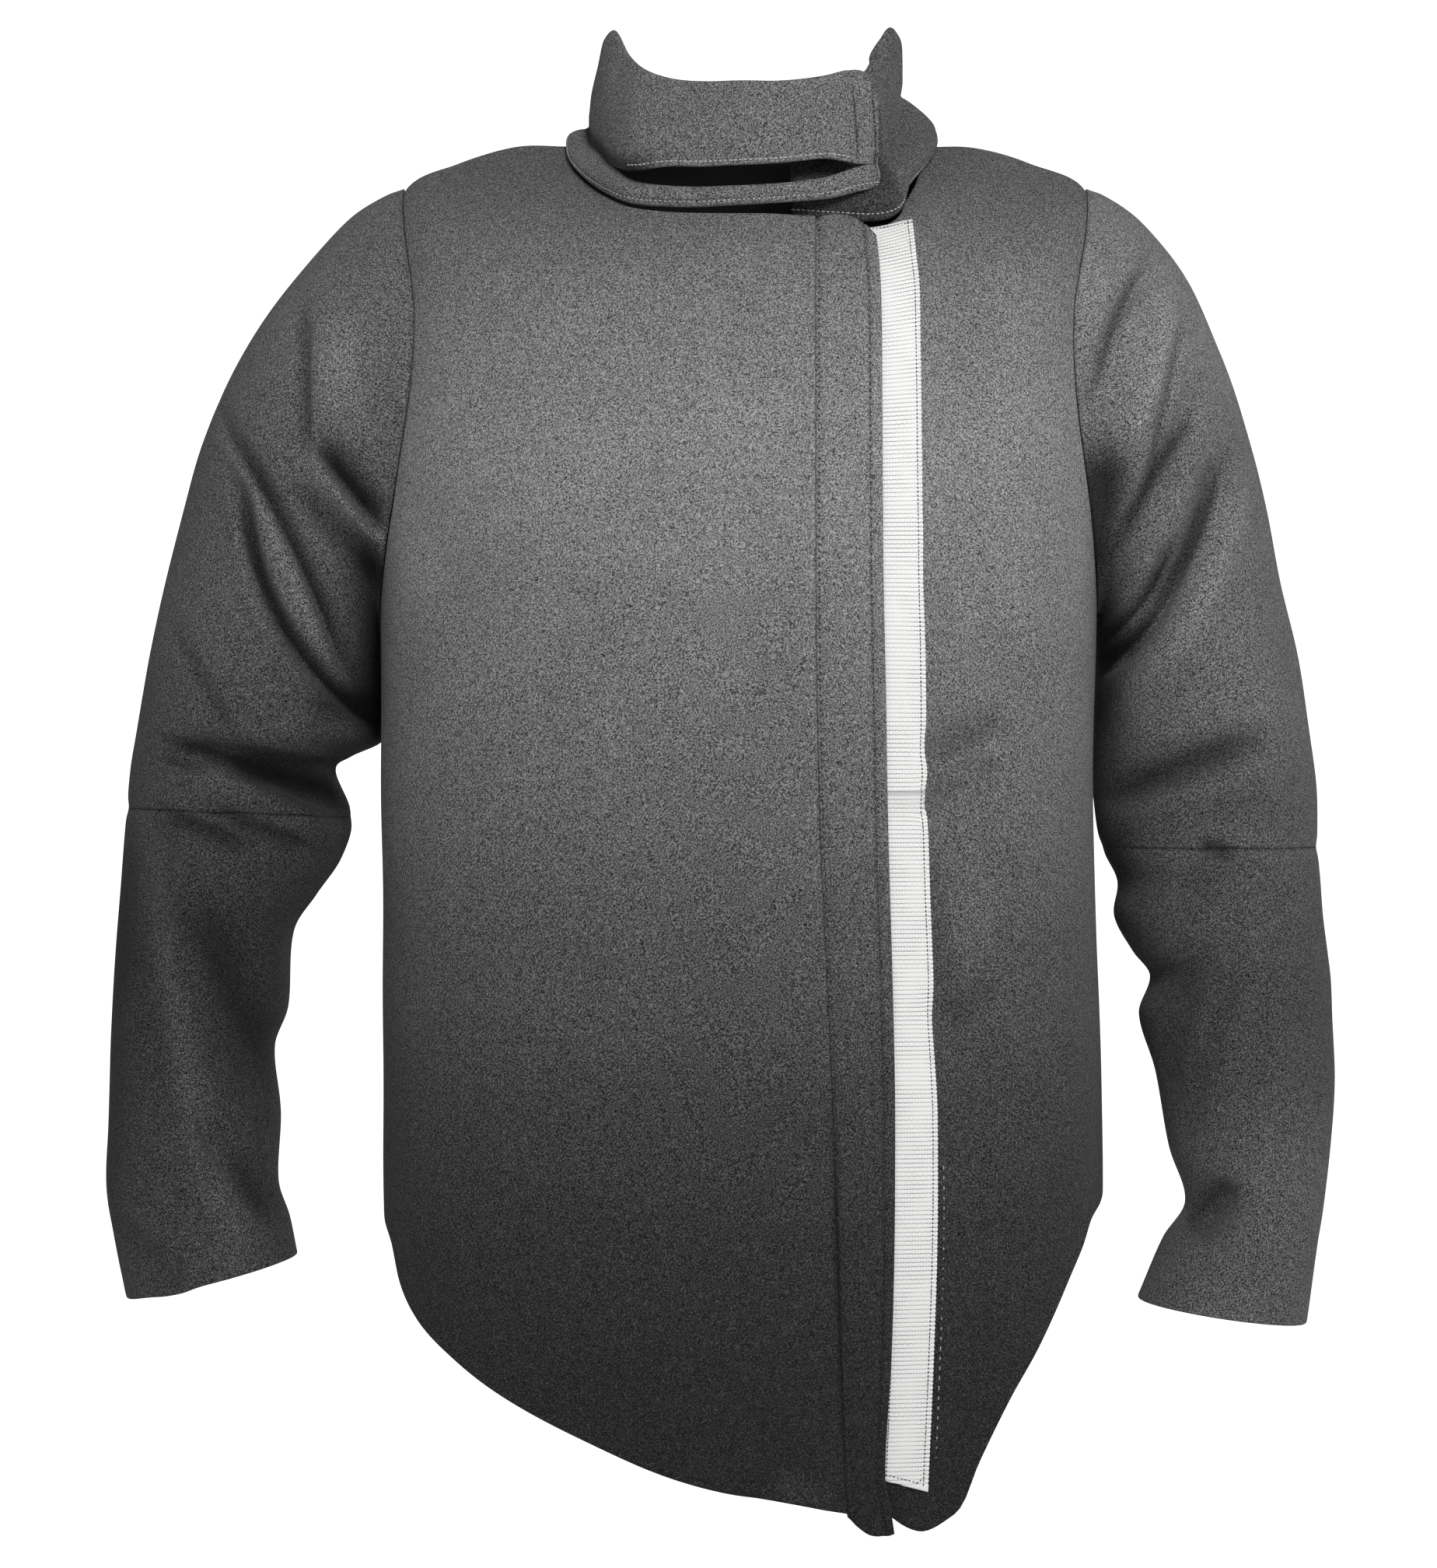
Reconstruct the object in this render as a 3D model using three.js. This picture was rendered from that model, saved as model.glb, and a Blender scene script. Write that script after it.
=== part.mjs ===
// Fencing jacket as it stands when worn: hollow padded cloth, closed on the wearer's left with an
// overlapping placket, a woven tape along the under front, a two-band stand collar and sleeves in
// an upper and a lower part. Millimetres, +Z up, the front faces -Y and +X is the wearer's left.
// The origin is in the middle of the neck opening, level with the points where neck meets shoulder.
import * as THREE from 'three';

// Driving sizes
const CLOTH = 2.6; // wall of the padded cloth
const COLLAR_CLOTH = 3.2; // wall of the padded collar bands
const TAPE = 1.1; // woven tape on the under front
const TAPE_LIFT = 0.8; // air under the tape
const SEAM_GAP = 0.4; // air between two pieces at a seam
const ELBOW_GAP = 0.8; // the same at the seam across a sleeve
const ROOT_LIFT = 0.5; // the same between an armhole's edge and the sleeve sewn over it
const ROOT_INSET = 0.3;
const TAPE_WIDTH = 25; // the tape, selvedge to selvedge
const UNDER_DROP = 5.4; // how far the under front lies inside the over front
const UNDER_EDGE_X = 30; // hidden front edge of the under front
const SHOULDER_LEVEL = 90; // ring that passes through the shoulder points
const ARMPIT_LEVEL = 262; // first level ring, through the armpits
const ARMHOLE_TURN = 24; // half width of an armhole, in degrees round the body
const ARMHOLE_SKEW = 0.45; // how much wider the armhole is above its middle
const RIGHT = -1;
const LEFT = 1;

// Mesh density
const NECK_ROWS = 4;
const ARMHOLE_ROWS = 12;
const BODY_ROWS = 15;
const COLLAR_STEPS = 60;
const HALF_SLEEVE_STEPS = ARMHOLE_ROWS;

const CLOTH_FINISH = { color: 0x2b2c2e, roughness: 0.86, metalness: 0 };
const TAPE_FINISH = { color: 0xe9e9e7, roughness: 0.7, metalness: 0 };

// A table is a list of rows whose columns have names.
function table(columns, rows) {
  return rows.map((row) => Object.fromEntries(columns.map((name, k) => [name, row[k]])));
}

// Body rings from the neck seam down. Level 0 is the neck seam, and from the armpits down a level
// is the depth below the origin. The other columns are the heights at side, front and back, the
// reach to each side, forwards and backwards, the squareness and how the height falls from the side.
const BODY = table(
  ['level', 'sideZ', 'frontZ', 'backZ', 'right', 'left', 'front', 'back', 'square', 'fall'],
  [
    [0, 1, -48, 2, 98, 99, 86, 58, 2.0, 0.85],
    [30, 1, -64, -9, 128, 128, 97, 71, 2.05, 1.0],
    [60, -8, -82, -25, 160, 160, 106, 82, 2.1, 1.08],
    [90, -24, -103, -48, 190, 191, 113, 91, 2.12, 1.15],
    [125, -76, -132, -92, 197, 196, 120, 101, 2.25, 1.3],
    [175, -150, -178, -158, 200, 197, 127, 110, 2.4, 1.6],
    [262, -262, -262, -262, 202, 196, 133, 118, 2.5, 1.6],
    [352, -352, -352, -352, 202, 194, 131, 116, 2.5, 1.6],
    [440, -440, -440, -440, 201, 196, 129, 115, 2.5, 1.6],
    [530, -530, -530, -530, 201, 199, 128, 118, 2.5, 1.6],
    [620, -620, -620, -620, 200, 199, 125, 121, 2.5, 1.6],
    [770, -770, -770, -770, 196, 196, 112, 121, 2.5, 1.6],
  ],
);

// Hem level round each panel, by the angle at the hem.
const HEM_OVER = table(
  ['angle', 'level'],
  [
    [76, 748], [78.4, 744.4], [82.7, 741.2], [90.4, 734], [98.3, 724], [111.6, 704], [125.2, 685],
    [137.8, 666], [149.8, 647], [158.6, 628], [163.7, 608], [172, 598], [180, 593],
  ],
);
const HEM_UNDER = table(
  ['angle', 'level'],
  [
    [0, 580], [12, 587], [20, 594], [24.3, 606], [31.6, 626], [43, 666], [48.2, 686], [54.8, 720],
    [58, 742], [61, 750], [65.5, 756], [69, 753], [73, 744], [78, 737], [84, 730],
  ],
);
const HEM_PLACKET = table(
  ['angle', 'level'],
  [[68, 748], [70.5, 752], [71.2, 755.4], [73.2, 756.5], [75.3, 755.5], [77, 751], [78.4, 746], [82, 743]],
);
const HEM_BACK = table(
  ['angle', 'level'],
  [[180, 593], [225, 602], [270, 608], [315, 598], [360, 580]],
);

// The front closing, as distances to the wearer's left of the middle: the seam of the placket,
// its free edge and the outer selvedge of the tape.
const CLOSING = table(
  ['level', 'seam', 'edge', 'tape'],
  [
    [0, 38, 69, 88],
    [26, 38, 70, 91],
    [59, 37.6, 72, 93],
    [90, 37.3, 72.8, 94.8],
    [228, 37, 73, 95.9],
    [311, 37.7, 74.4, 96.7],
    [394, 39.8, 76.1, 98.4],
    [476, 44, 78.6, 101.5],
    [538, 46.4, 79.5, 103.4],
    [600, 48.5, 79.2, 103.1],
    [662, 50.6, 77.7, 101.3],
    [725, 53, 74.6, 98.8],
    [742, 54.2, 77.6, 98],
    [770, 56, 82, 97],
  ],
);
const TAPE_TOP = 26;
const TAPE_END = 727;
const PLACKET_TOP = 9;
const PLACKET_CORNER = 30; // drop of its rounded top corner

// Where each front starts below the neck seam, by angle.
const OVER_NECK = table(
  ['angle', 'level'],
  [[60, 0], [95, 0], [105, 1.5], [114, 4], [125, 7.5], [138, 4], [150, 1], [160, 0], [180, 0]],
);
// The over front's own top edge, which dips at its corner beside the placket.
const OVER_TOP = table(
  ['angle', 'level'],
  [
    [62, 7], [69, 6], [73, 4.5], [79, 1.5], [86, 0], [95, 0], [105, 1.5], [114, 4], [125, 7.5],
    [138, 4], [150, 1], [160, 0], [180, 0],
  ],
);
const UNDER_NECK = table(
  ['angle', 'level'],
  [[0, 0], [8, 1], [18, 2], [34, 9], [46, 24], [54, 25], [62, 16], [72, 8], [84, 6]],
);

// Collar strip, by the angle travelled from the over end at the wearer's left, round by the
// wearer's right and the back to the under end. For each level of the strip: how far it stands
// outside the neck seam ring, and its height above that ring.
const COLLAR = table(
  [
    'travel', 'seamOut', 'seamUp', 'bellyOut', 'bellyUp', 'joinOut', 'joinUp', 'midOut', 'midUp',
    'topOut', 'topUp',
  ],
  [
    [47, 7, 3.5, 9, 9, 9, 17, 8.5, 34, 8, 53],
    [49, 7.6, 4, 9.5, 9, 8.8, 18, 7.2, 39, 4.6, 65.5],
    [51, 8, 4, 9.5, 9, 8.5, 18.5, 6, 42, 2.4, 70],
    [56, 8, 4, 9, 9, 8, 19.5, 5.5, 43, 0, 72.2],
    [64, 6, 3, 7.5, 9, 7, 20.5, 5, 45, -1, 71.5],
    [78, 3.5, 3.5, 5.5, 9, 5, 20, 3.5, 46, -3, 71.5],
    [90, 2.5, 3, 5, 8.5, 4, 19.5, 2.5, 46, -5, 72.5],
    [103, 2, 1.5, 4.5, 7.5, 3, 18.5, 1, 45, -7, 72],
    [114, 2, 1, 4.5, 7.5, 2, 18.5, -1, 45, -9, 73],
    [126, 2, 1, 4, 7.5, -1, 17.5, -4, 45, -13, 77],
    [140, 1.5, 1, 3, 7.5, -5, 16.5, -9, 46, -18, 79],
    [150, 1, 1, 2, 7, -7.5, 17, -11, 47, -19, 83],
    [157, 0.5, 1, 1.5, 6.5, -8.5, 16, -12, 45, -19, 82.5],
    [166, 0, 1, 1, 6, -9, 14, -13, 39, -18, 72],
    [180, 0, 1, 0.5, 5, -9.5, 11.5, -13.5, 31, -18.5, 53],
    [200, 0, 1.5, 0.5, 6, -9, 12, -12, 27, -16, 41],
    [225, 0, 2, 0.5, 7, -8, 14, -10, 28, -14, 41],
    [270, 0, 2, 0.5, 8, -7, 16, -9, 30, -12, 43],
    [315, 0, 2, 0.5, 9, -8, 18, -10, 31, -13, 42],
    [340, 2, 2, 3.5, 10, -9.5, 23, -11, 33, -12, 43],
    [360, 4, 2, 6.5, 11, -10.5, 28, -11.5, 40, -11, 55],
    [372, 5, 1.5, 7.5, 12, -10, 27, -11.5, 45, -12, 73],
    [380, 5, 0.6, 7.5, 12, -10, 26, -12, 49, -12.5, 82],
    [388, 4.2, -0.8, 6.5, 12, -10, 26, -12.5, 51, -14.5, 81],
    [398, 3.4, -2.2, 5.5, 12, -9.5, 27, -13.5, 53, -20, 79],
    [404, 2.6, -2.6, 3.5, 12, -10.3, 27.5, -14.5, 55, -26, 79.5],
    [410, 1.6, -2.6, 1, 12, -11, 28, -16, 56, -29, 80],
    [418, -3.5, -1, -4, 12, -11.5, 27, -16.5, 54, -29.5, 77],
    [434, -9, 1, -9, 12, -13, 24, -18, 50, -30, 70],
  ],
);
const COLLAR_JOIN = 0.36; // share of the strip's height at the join of the two bands
const COLLAR_FROM = 47; // the over end, in degrees of travel
const COLLAR_TO = 434; // the under end
const SLOT_FROM = 50; // the open slot between the bands, in degrees of travel
const SLOT_TO = 140;
const SLOT_HEIGHT = 9;

// Sleeve rings from the armhole down. Each gives the outer and the inner edge in the front view,
// the depth of its middle, and the reach forwards and backwards.
const RING_COLUMNS = ['along', 'outX', 'outZ', 'inX', 'inZ', 'y', 'front', 'back'];
const SLEEVE = {
  [RIGHT]: table(RING_COLUMNS, [
    [0, 190, -27, 204, -262, 0, 60, 58],
    [35, 222, -43, 204.5, -266, 10, 68, 70],
    [75, 255.5, -76, 204.2, -271, 17, 73, 76],
    [120, 284.5, -118, 204, -278, 22, 76, 79],
    [165, 304, -161, 203.8, -287, 26, 77, 80],
    [205, 316.5, -202, 203.5, -297, 28, 76, 79],
    [245, 327, -242, 203, -309, 30, 74, 77],
    [285, 336, -283, 203, -322, 31, 71, 75],
    [308, 340, -307, 206, -332, 30, 70, 74],
    [328, 343, -327, 223, -340, 29, 69, 74],
    [346, 346, -346, 231.5, -348, 28, 67, 73],
    [368, 348, -369, 221.5, -374, 25, 66, 71],
    [390, 349.5, -391, 227, -397, 21, 64, 68],
    [415, 350.5, -415, 241, -418, 16, 62, 64],
    [440, 351.5, -440, 253, -438, 11, 60, 60],
    [480, 352.5, -480, 255, -480, 1, 57, 55],
    [505, 353, -506, 262, -502, -5, 55, 53],
    [545, 353, -545, 258, -538, -14, 52, 50],
    [582, 352.5, -577, 258, -575, -23, 49, 47],
    [605, 348, -602, 251, -594, -29, 47, 46],
    [632, 340, -638, 246, -614.5, -36, 46, 45],
  ]),
  [LEFT]: table(RING_COLUMNS, [
    [0, 191, -27, 199, -262, 0, 60, 58],
    [35, 222, -43, 198.5, -266, 10, 68, 70],
    [75, 248, -71, 198.2, -271, 17, 73, 76],
    [120, 268, -113, 198, -278, 22, 76, 79],
    [165, 283.5, -157, 197.8, -287, 26, 77, 80],
    [205, 294.5, -200, 197.8, -297, 28, 76, 79],
    [245, 303.5, -243, 197.8, -309, 29, 74, 77],
    [285, 313.5, -286, 197.8, -323, 30, 71, 75],
    [320, 319.5, -325, 197.5, -342, 29, 69, 73],
    [350, 323.5, -358, 198, -364, 28, 67, 72],
    [385, 323.5, -391, 202, -391, 24, 66, 70],
    [405, 324.5, -410, 211, -410, 20, 64, 67],
    [428, 325.5, -430, 209, -430, 16, 62, 63],
    [450, 327.5, -452, 219, -450, 11, 60, 60],
    [463, 328.5, -465, 228, -463, 8, 59, 58],
    [485, 328.5, -486, 221, -484, 2, 57, 55],
    [520, 328.5, -520, 229.5, -516, -7, 54, 52],
    [557, 325, -555, 236, -557, -16, 51, 49],
    [590, 320, -589, 244, -587, -24, 48, 46],
    [612, 315.5, -611, 231, -606, -30, 47, 45],
    [652, 308.5, -651.5, 216, -638, -37, 46, 45],
  ]),
};

const ELBOW = { [RIGHT]: 368, [LEFT]: 385 }; // place of the seam across each sleeve

// Folds as soft troughs (negative) and ridges (positive), placed in the front view from one end to
// the other. bow bends the line sideways, and wide and steep are its reach on either side of it.
const FOLD_COLUMNS = ['x1', 'z1', 'x2', 'z2', 'bow', 'wide', 'steep', 'height'];
const SLEEVE_FOLDS = {
  [RIGHT]: table(FOLD_COLUMNS, [
    [-231, -172, -198, -230, 0, 8, 13, -7],
    [-238, -176, -196, -256, 4, 8, 8, 5],
    [-240, -190, -198, -278, 8, 9, 9, -7],
    [-277, -166, -216, -312, 14, 12, 6, -6],
    [-312, -332, -222, -362, -10, 8, 15, -9],
    [-300, -352, -232, -384, -8, 8, 8, 4],
    [-290, -376, -255, -396, -3, 6, 8, -4],
    [-281, -425, -268, -520, 4, 14, 14, -4],
    [-292, -540, -262, -584, 3, 10, 10, -5],
    [-342, -598, -305, -632, -2, 9, 9, -4],
  ]),
  [LEFT]: table(FOLD_COLUMNS, [
    [221, -70, 190, -145, -6, 6, 8, -4],
    [212, -176, 190, -222, -4, 10, 15, -8],
    [252, -128, 214, -222, -6, 10, 8, -5],
    [262, -172, 200, -296, -14, 7, 12, -8],
    [300, -334, 212, -352, 6, 12, 14, -6],
    [300, -372, 214, -386, 5, 9, 9, -4],
    [274, -398, 240, -416, 3, 9, 9, -5],
    [246, -450, 228, -540, 3, 12, 12, -4],
    [262, -575, 246, -596, 2, 12, 8, -5],
  ]),
};
const BODY_FOLDS = table(FOLD_COLUMNS, [
  [117, -80, 114, -240, 4, 18, 18, -3],
  [112, -240, 168, -318, 6, 16, 16, -6],
  [100, -340, 140, -322, -3, 9, 9, -4],
  [100, -360, 150, -348, -3, 8, 8, -4],
  [112, -480, 160, -540, 5, 18, 18, -4],
  [-190, -200, -140, -250, 5, 16, 16, -3],
]);
const BACK_FOLDS = table(FOLD_COLUMNS, [
  [-150, -120, -120, -260, 8, 18, 18, -4],
  [150, -120, 118, -260, -8, 18, 18, -4],
  [-120, -395, 60, -420, 8, 14, 14, -4],
  [-70, -450, 130, -440, -8, 16, 16, -4],
]);

// Reads a table at a place between its rows, along a smooth curve through them.
function readTable(rows, key, place) {
  const last = rows.length - 1;
  const at = THREE.MathUtils.clamp(place, rows[0][key], rows[last][key]);
  let k = 0;
  while (k < last - 1 && at > rows[k + 1][key]) k += 1;
  const span = rows[k + 1][key] - rows[k][key];
  const t = (at - rows[k][key]) / span;
  const read = {};
  for (const column of Object.keys(rows[0])) {
    const slope = (i) => {
      const before = rows[Math.max(i - 1, 0)];
      const after = rows[Math.min(i + 1, last)];
      return ((after[column] - before[column]) / (after[key] - before[key])) * span;
    };
    const a = rows[k][column];
    const b = rows[k + 1][column];
    const bend = t * (1 - t);
    read[column] = a + (b - a) * t * t * (3 - 2 * t)
      + bend * ((1 - t) * slope(k) - t * slope(k + 1));
  }
  return read;
}

const ease = (x, from, to) => THREE.MathUtils.smoothstep(x, from, to);
const power = (value, exponent) => Math.sign(value) * Math.abs(value) ** exponent;

// Height of one fold at a point of the front view.
function foldHeight(fold, x, z) {
  const alongX = fold.x2 - fold.x1;
  const alongZ = fold.z2 - fold.z1;
  const length = Math.hypot(alongX, alongZ);
  const t = ((x - fold.x1) * alongX + (z - fold.z1) * alongZ) / (length * length);
  if (t < -0.25 || t > 1.25) return 0;
  const inside = THREE.MathUtils.clamp(t, 0, 1);
  const side = ((z - fold.z1) * alongX - (x - fold.x1) * alongZ) / length;
  const offset = side + fold.bow * 4 * inside * (1 - inside);
  const reach = offset > 0 ? fold.wide : fold.steep;
  const fade = ease(t, -0.25, 0.25) * (1 - ease(t, 0.75, 1.25));
  return fold.height * fade * Math.exp(-((offset / reach) ** 2));
}

const foldSum = (folds, x, z) => folds.reduce((sum, fold) => sum + foldHeight(fold, x, z), 0);

// Outward unit normal of a surface given as a function of two parameters.
function normalOf(surface, a, b, stepA, stepB) {
  const acrossA = surface(a + stepA, b).sub(surface(a - stepA, b));
  const acrossB = surface(a, b + stepB).sub(surface(a, b - stepB));
  return acrossA.cross(acrossB).normalize();
}

// A surface pushed out along its own normals by height(point, normal, a, b).
function raised(surface, stepA, stepB, turn, height) {
  return (a, b) => {
    const point = surface(a, b);
    const normal = normalOf(surface, a, b, stepA, stepB).multiplyScalar(turn);
    return point.addScaledVector(normal, height(point, normal, a, b));
  };
}

// The plain body form. angle is 0 at the wearer's left, 90 in front, 180 at the right, 270 behind.
function bodyForm(angle, level) {
  const ring = readTable(BODY, 'level', level);
  const turn = THREE.MathUtils.degToRad(angle);
  const across = power(Math.cos(turn), 2 / ring.square);
  const forth = power(Math.sin(turn), 2 / ring.square);
  const reach = Math.abs(forth);
  const far = forth > 0 ? ring.frontZ : ring.backZ;
  return new THREE.Vector3(
    across * (across > 0 ? ring.left : ring.right),
    -forth * (forth > 0 ? ring.front : ring.back),
    ring.sideZ + (far - ring.sideZ) * reach ** ring.fall,
  );
}

const BODY_STEP = 0.8;
const bodySurface = raised(bodyForm, BODY_STEP, BODY_STEP, 1, (point, normal, angle) => {
  const folds = Math.sin(THREE.MathUtils.degToRad(angle)) > 0 ? BODY_FOLDS : BACK_FOLDS;
  return foldSum(folds, point.x, point.z) * ease(Math.abs(normal.y), 0.2, 0.7);
});

// The under front lies inside the over front where the two overlap.
const underDrop = (x, angle) => -UNDER_DROP * (1 - ease(x, 105, 160)) * ease(angle, 5, 35);
const underSurface = raised(bodySurface, BODY_STEP, BODY_STEP, 1, (point, normal, angle) => (
  underDrop(point.x, angle)
));

// Angle at which a level's ring passes a distance to the wearer's left of the middle.
function angleAt(x, level) {
  const ring = readTable(BODY, 'level', level);
  const reach = x > 0 ? ring.left : ring.right;
  return THREE.MathUtils.radToDeg(Math.acos(power(x / reach, ring.square / 2)));
}

// The armhole edge: turn is 0 at the shoulder point and 180 at the armpit.
function armholeEdge(turn, inset = 0) {
  const a = THREE.MathUtils.degToRad(turn);
  const middle = (SHOULDER_LEVEL + ARMPIT_LEVEL) / 2;
  const half = (ARMPIT_LEVEL - SHOULDER_LEVEL) / 2;
  return {
    level: middle - (half - inset) * Math.cos(a),
    offset: (ARMHOLE_TURN - inset) * Math.sin(a) * (1 + ARMHOLE_SKEW * Math.cos(a)),
  };
}

// Levels of a panel's rows: fixed down to the armpits, then shared out down to its hem.
function panelRows(hemLevel, topLevel) {
  const rows = [];
  for (let k = 0; k < NECK_ROWS; k += 1) {
    rows.push({ level: topLevel + ((SHOULDER_LEVEL - topLevel) * k) / NECK_ROWS, offset: 0 });
  }
  for (let k = 0; k <= ARMHOLE_ROWS; k += 1) rows.push(armholeEdge((180 * k) / ARMHOLE_ROWS));
  for (let k = 1; k <= BODY_ROWS; k += 1) {
    rows.push({ level: ARMPIT_LEVEL + ((hemLevel - ARMPIT_LEVEL) * k) / BODY_ROWS, offset: 0 });
  }
  return rows;
}

// A small turn that opens a seam by its gap, at a level's own girth.
const gapTurn = (level) => THREE.MathUtils.radToDeg(SEAM_GAP / readTable(BODY, 'level', level).right);

// Grid of outer and inner points between two edges, each given as an angle by level and armhole offset.
function panelGrid(surface, cloth, columns, fromAngle, toAngle, neck, hem) {
  const outer = [];
  const inner = [];
  for (let c = 0; c <= columns; c += 1) {
    const share = c / columns;
    const angleOf = (level, offset) => (
      fromAngle(level, offset) * (1 - share) + toAngle(level, offset) * share
    );
    let hemLevel = 600;
    for (let pass = 0; pass < 3; pass += 1) {
      hemLevel = readTable(hem, 'angle', angleOf(hemLevel, 0)).level;
    }
    const topLevel = neck ? readTable(neck, 'angle', angleOf(0, 0)).level : 0;
    const outerLine = [];
    const innerLine = [];
    for (const row of panelRows(hemLevel, topLevel)) {
      const angle = angleOf(row.level, row.offset);
      const point = surface(angle, row.level);
      const normal = normalOf(surface, angle, row.level, BODY_STEP, BODY_STEP);
      outerLine.push(point);
      innerLine.push(point.clone().addScaledVector(normal, -cloth));
    }
    outer.push(outerLine);
    inner.push(innerLine);
  }
  return { outer, inner };
}

// Closed wall between an outer and an inner grid. A looped grid joins its last line to its first.
function wall({ outer, inner }, looped = false) {
  const lines = outer.length;
  const count = outer[0].length;
  const positions = [...outer.flat(), ...inner.flat()].flatMap((p) => [p.x, p.y, p.z]);
  const at = (layer, line, k) => layer * lines * count + (line % lines) * count + k;
  const index = [];
  const quad = (a, b, c, d) => index.push(a, b, c, a, c, d);
  const lastLine = looped ? lines : lines - 1;
  for (let l = 0; l < lastLine; l += 1) {
    for (let k = 0; k < count - 1; k += 1) {
      quad(at(0, l, k), at(0, l, k + 1), at(0, l + 1, k + 1), at(0, l + 1, k));
      quad(at(1, l, k), at(1, l + 1, k), at(1, l + 1, k + 1), at(1, l, k + 1));
    }
    quad(at(0, l, 0), at(0, l + 1, 0), at(1, l + 1, 0), at(1, l, 0));
    quad(at(0, l + 1, count - 1), at(0, l, count - 1), at(1, l, count - 1), at(1, l + 1, count - 1));
  }
  if (!looped) {
    for (let k = 0; k < count - 1; k += 1) {
      quad(at(0, 0, k + 1), at(0, 0, k), at(1, 0, k), at(1, 0, k + 1));
      quad(at(0, lines - 1, k), at(0, lines - 1, k + 1), at(1, lines - 1, k + 1), at(1, lines - 1, k));
    }
  }
  const geometry = new THREE.BufferGeometry();
  geometry.setAttribute('position', new THREE.Float32BufferAttribute(positions, 3));
  geometry.setIndex(facingOut(positions, index));
  geometry.computeVertexNormals();
  return geometry;
}

// Turns every triangle round if they enclose a negative volume.
function facingOut(positions, index) {
  const corner = (k) => new THREE.Vector3().fromArray(positions, index[k] * 3);
  let volume = 0;
  for (let k = 0; k < index.length; k += 3) {
    volume += corner(k).dot(corner(k + 1).cross(corner(k + 2)));
  }
  if (volume > 0) return index;
  const turned = [];
  for (let k = 0; k < index.length; k += 3) turned.push(index[k], index[k + 2], index[k + 1]);
  return turned;
}

function piece(name, geometry, finish) {
  const mesh = new THREE.Mesh(geometry, new THREE.MeshStandardMaterial(finish));
  mesh.name = name;
  return mesh;
}

// Over front: from the right side seam, across the middle, to the seam of the placket.
function overFront() {
  const side = (level, offset) => 180 - gapTurn(level) - offset;
  const front = (level) => angleAt(readTable(CLOSING, 'level', level).seam, level) + gapTurn(level);
  const grid = panelGrid(bodySurface, CLOTH, 13, side, front, OVER_TOP, HEM_OVER);
  return piece('front_right', wall(grid), CLOTH_FINISH);
}

// Under front: from the left side seam to its hidden edge behind the placket.
function underFront() {
  const side = (level, offset) => gapTurn(level) + offset;
  const front = (level) => angleAt(UNDER_EDGE_X, level);
  const grid = panelGrid(underSurface, CLOTH, 13, side, front, UNDER_NECK, HEM_UNDER);
  return piece('front_left', wall(grid), CLOTH_FINISH);
}

function backPanel() {
  const right = (level, offset) => 180 + gapTurn(level) + offset;
  const left = (level, offset) => 360 - gapTurn(level) - offset;
  return piece('back', wall(panelGrid(bodySurface, CLOTH, 18, right, left, null, HEM_BACK)), CLOTH_FINISH);
}

// A strip that runs down the front between two distances from the middle.
function frontStrip(surface, thickness, rows, columns, fromX, toX, topOf, endOf) {
  const outer = [];
  const inner = [];
  for (let c = 0; c <= columns; c += 1) {
    const share = c / columns;
    const top = topOf(share);
    const end = endOf(share);
    const outerLine = [];
    const innerLine = [];
    for (let r = 0; r <= rows; r += 1) {
      const level = top + ((end - top) * r) / rows;
      const closing = readTable(CLOSING, 'level', level);
      const angle = angleAt(fromX(closing) * (1 - share) + toX(closing) * share, level);
      const point = surface(angle, level);
      const normal = normalOf(surface, angle, level, BODY_STEP, BODY_STEP);
      outerLine.push(point);
      innerLine.push(point.clone().addScaledVector(normal, -thickness));
    }
    outer.push(outerLine);
    inner.push(innerLine);
  }
  return { outer, inner };
}

// Placket: the strip sewn to the over front that covers the opening, rounded at both corners.
function placket() {
  const top = (share) => PLACKET_TOP + PLACKET_CORNER * share ** 3;
  const end = (share) => {
    const level = 752;
    const closing = readTable(CLOSING, 'level', level);
    const x = closing.seam * (1 - share) + closing.edge * share;
    return readTable(HEM_PLACKET, 'angle', angleAt(x, level)).level;
  };
  const grid = frontStrip(bodySurface, CLOTH, 34, 4, (c) => c.seam + SEAM_GAP, (c) => c.edge, top, end);
  return piece('placket', wall(grid), CLOTH_FINISH);
}

// Tape: lies on the under front, with its inner selvedge just under the placket.
function tape() {
  const lifted = raised(underSurface, BODY_STEP, BODY_STEP, 1, () => TAPE + TAPE_LIFT);
  const top = (share) => TAPE_TOP + 5 * share;
  const end = (share) => TAPE_END + 7 * share;
  const grid = frontStrip(lifted, TAPE, 34, 2, (c) => c.tape - TAPE_WIDTH, (c) => c.tape, top, end);
  return piece('front_tape', wall(grid), TAPE_FINISH);
}

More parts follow.
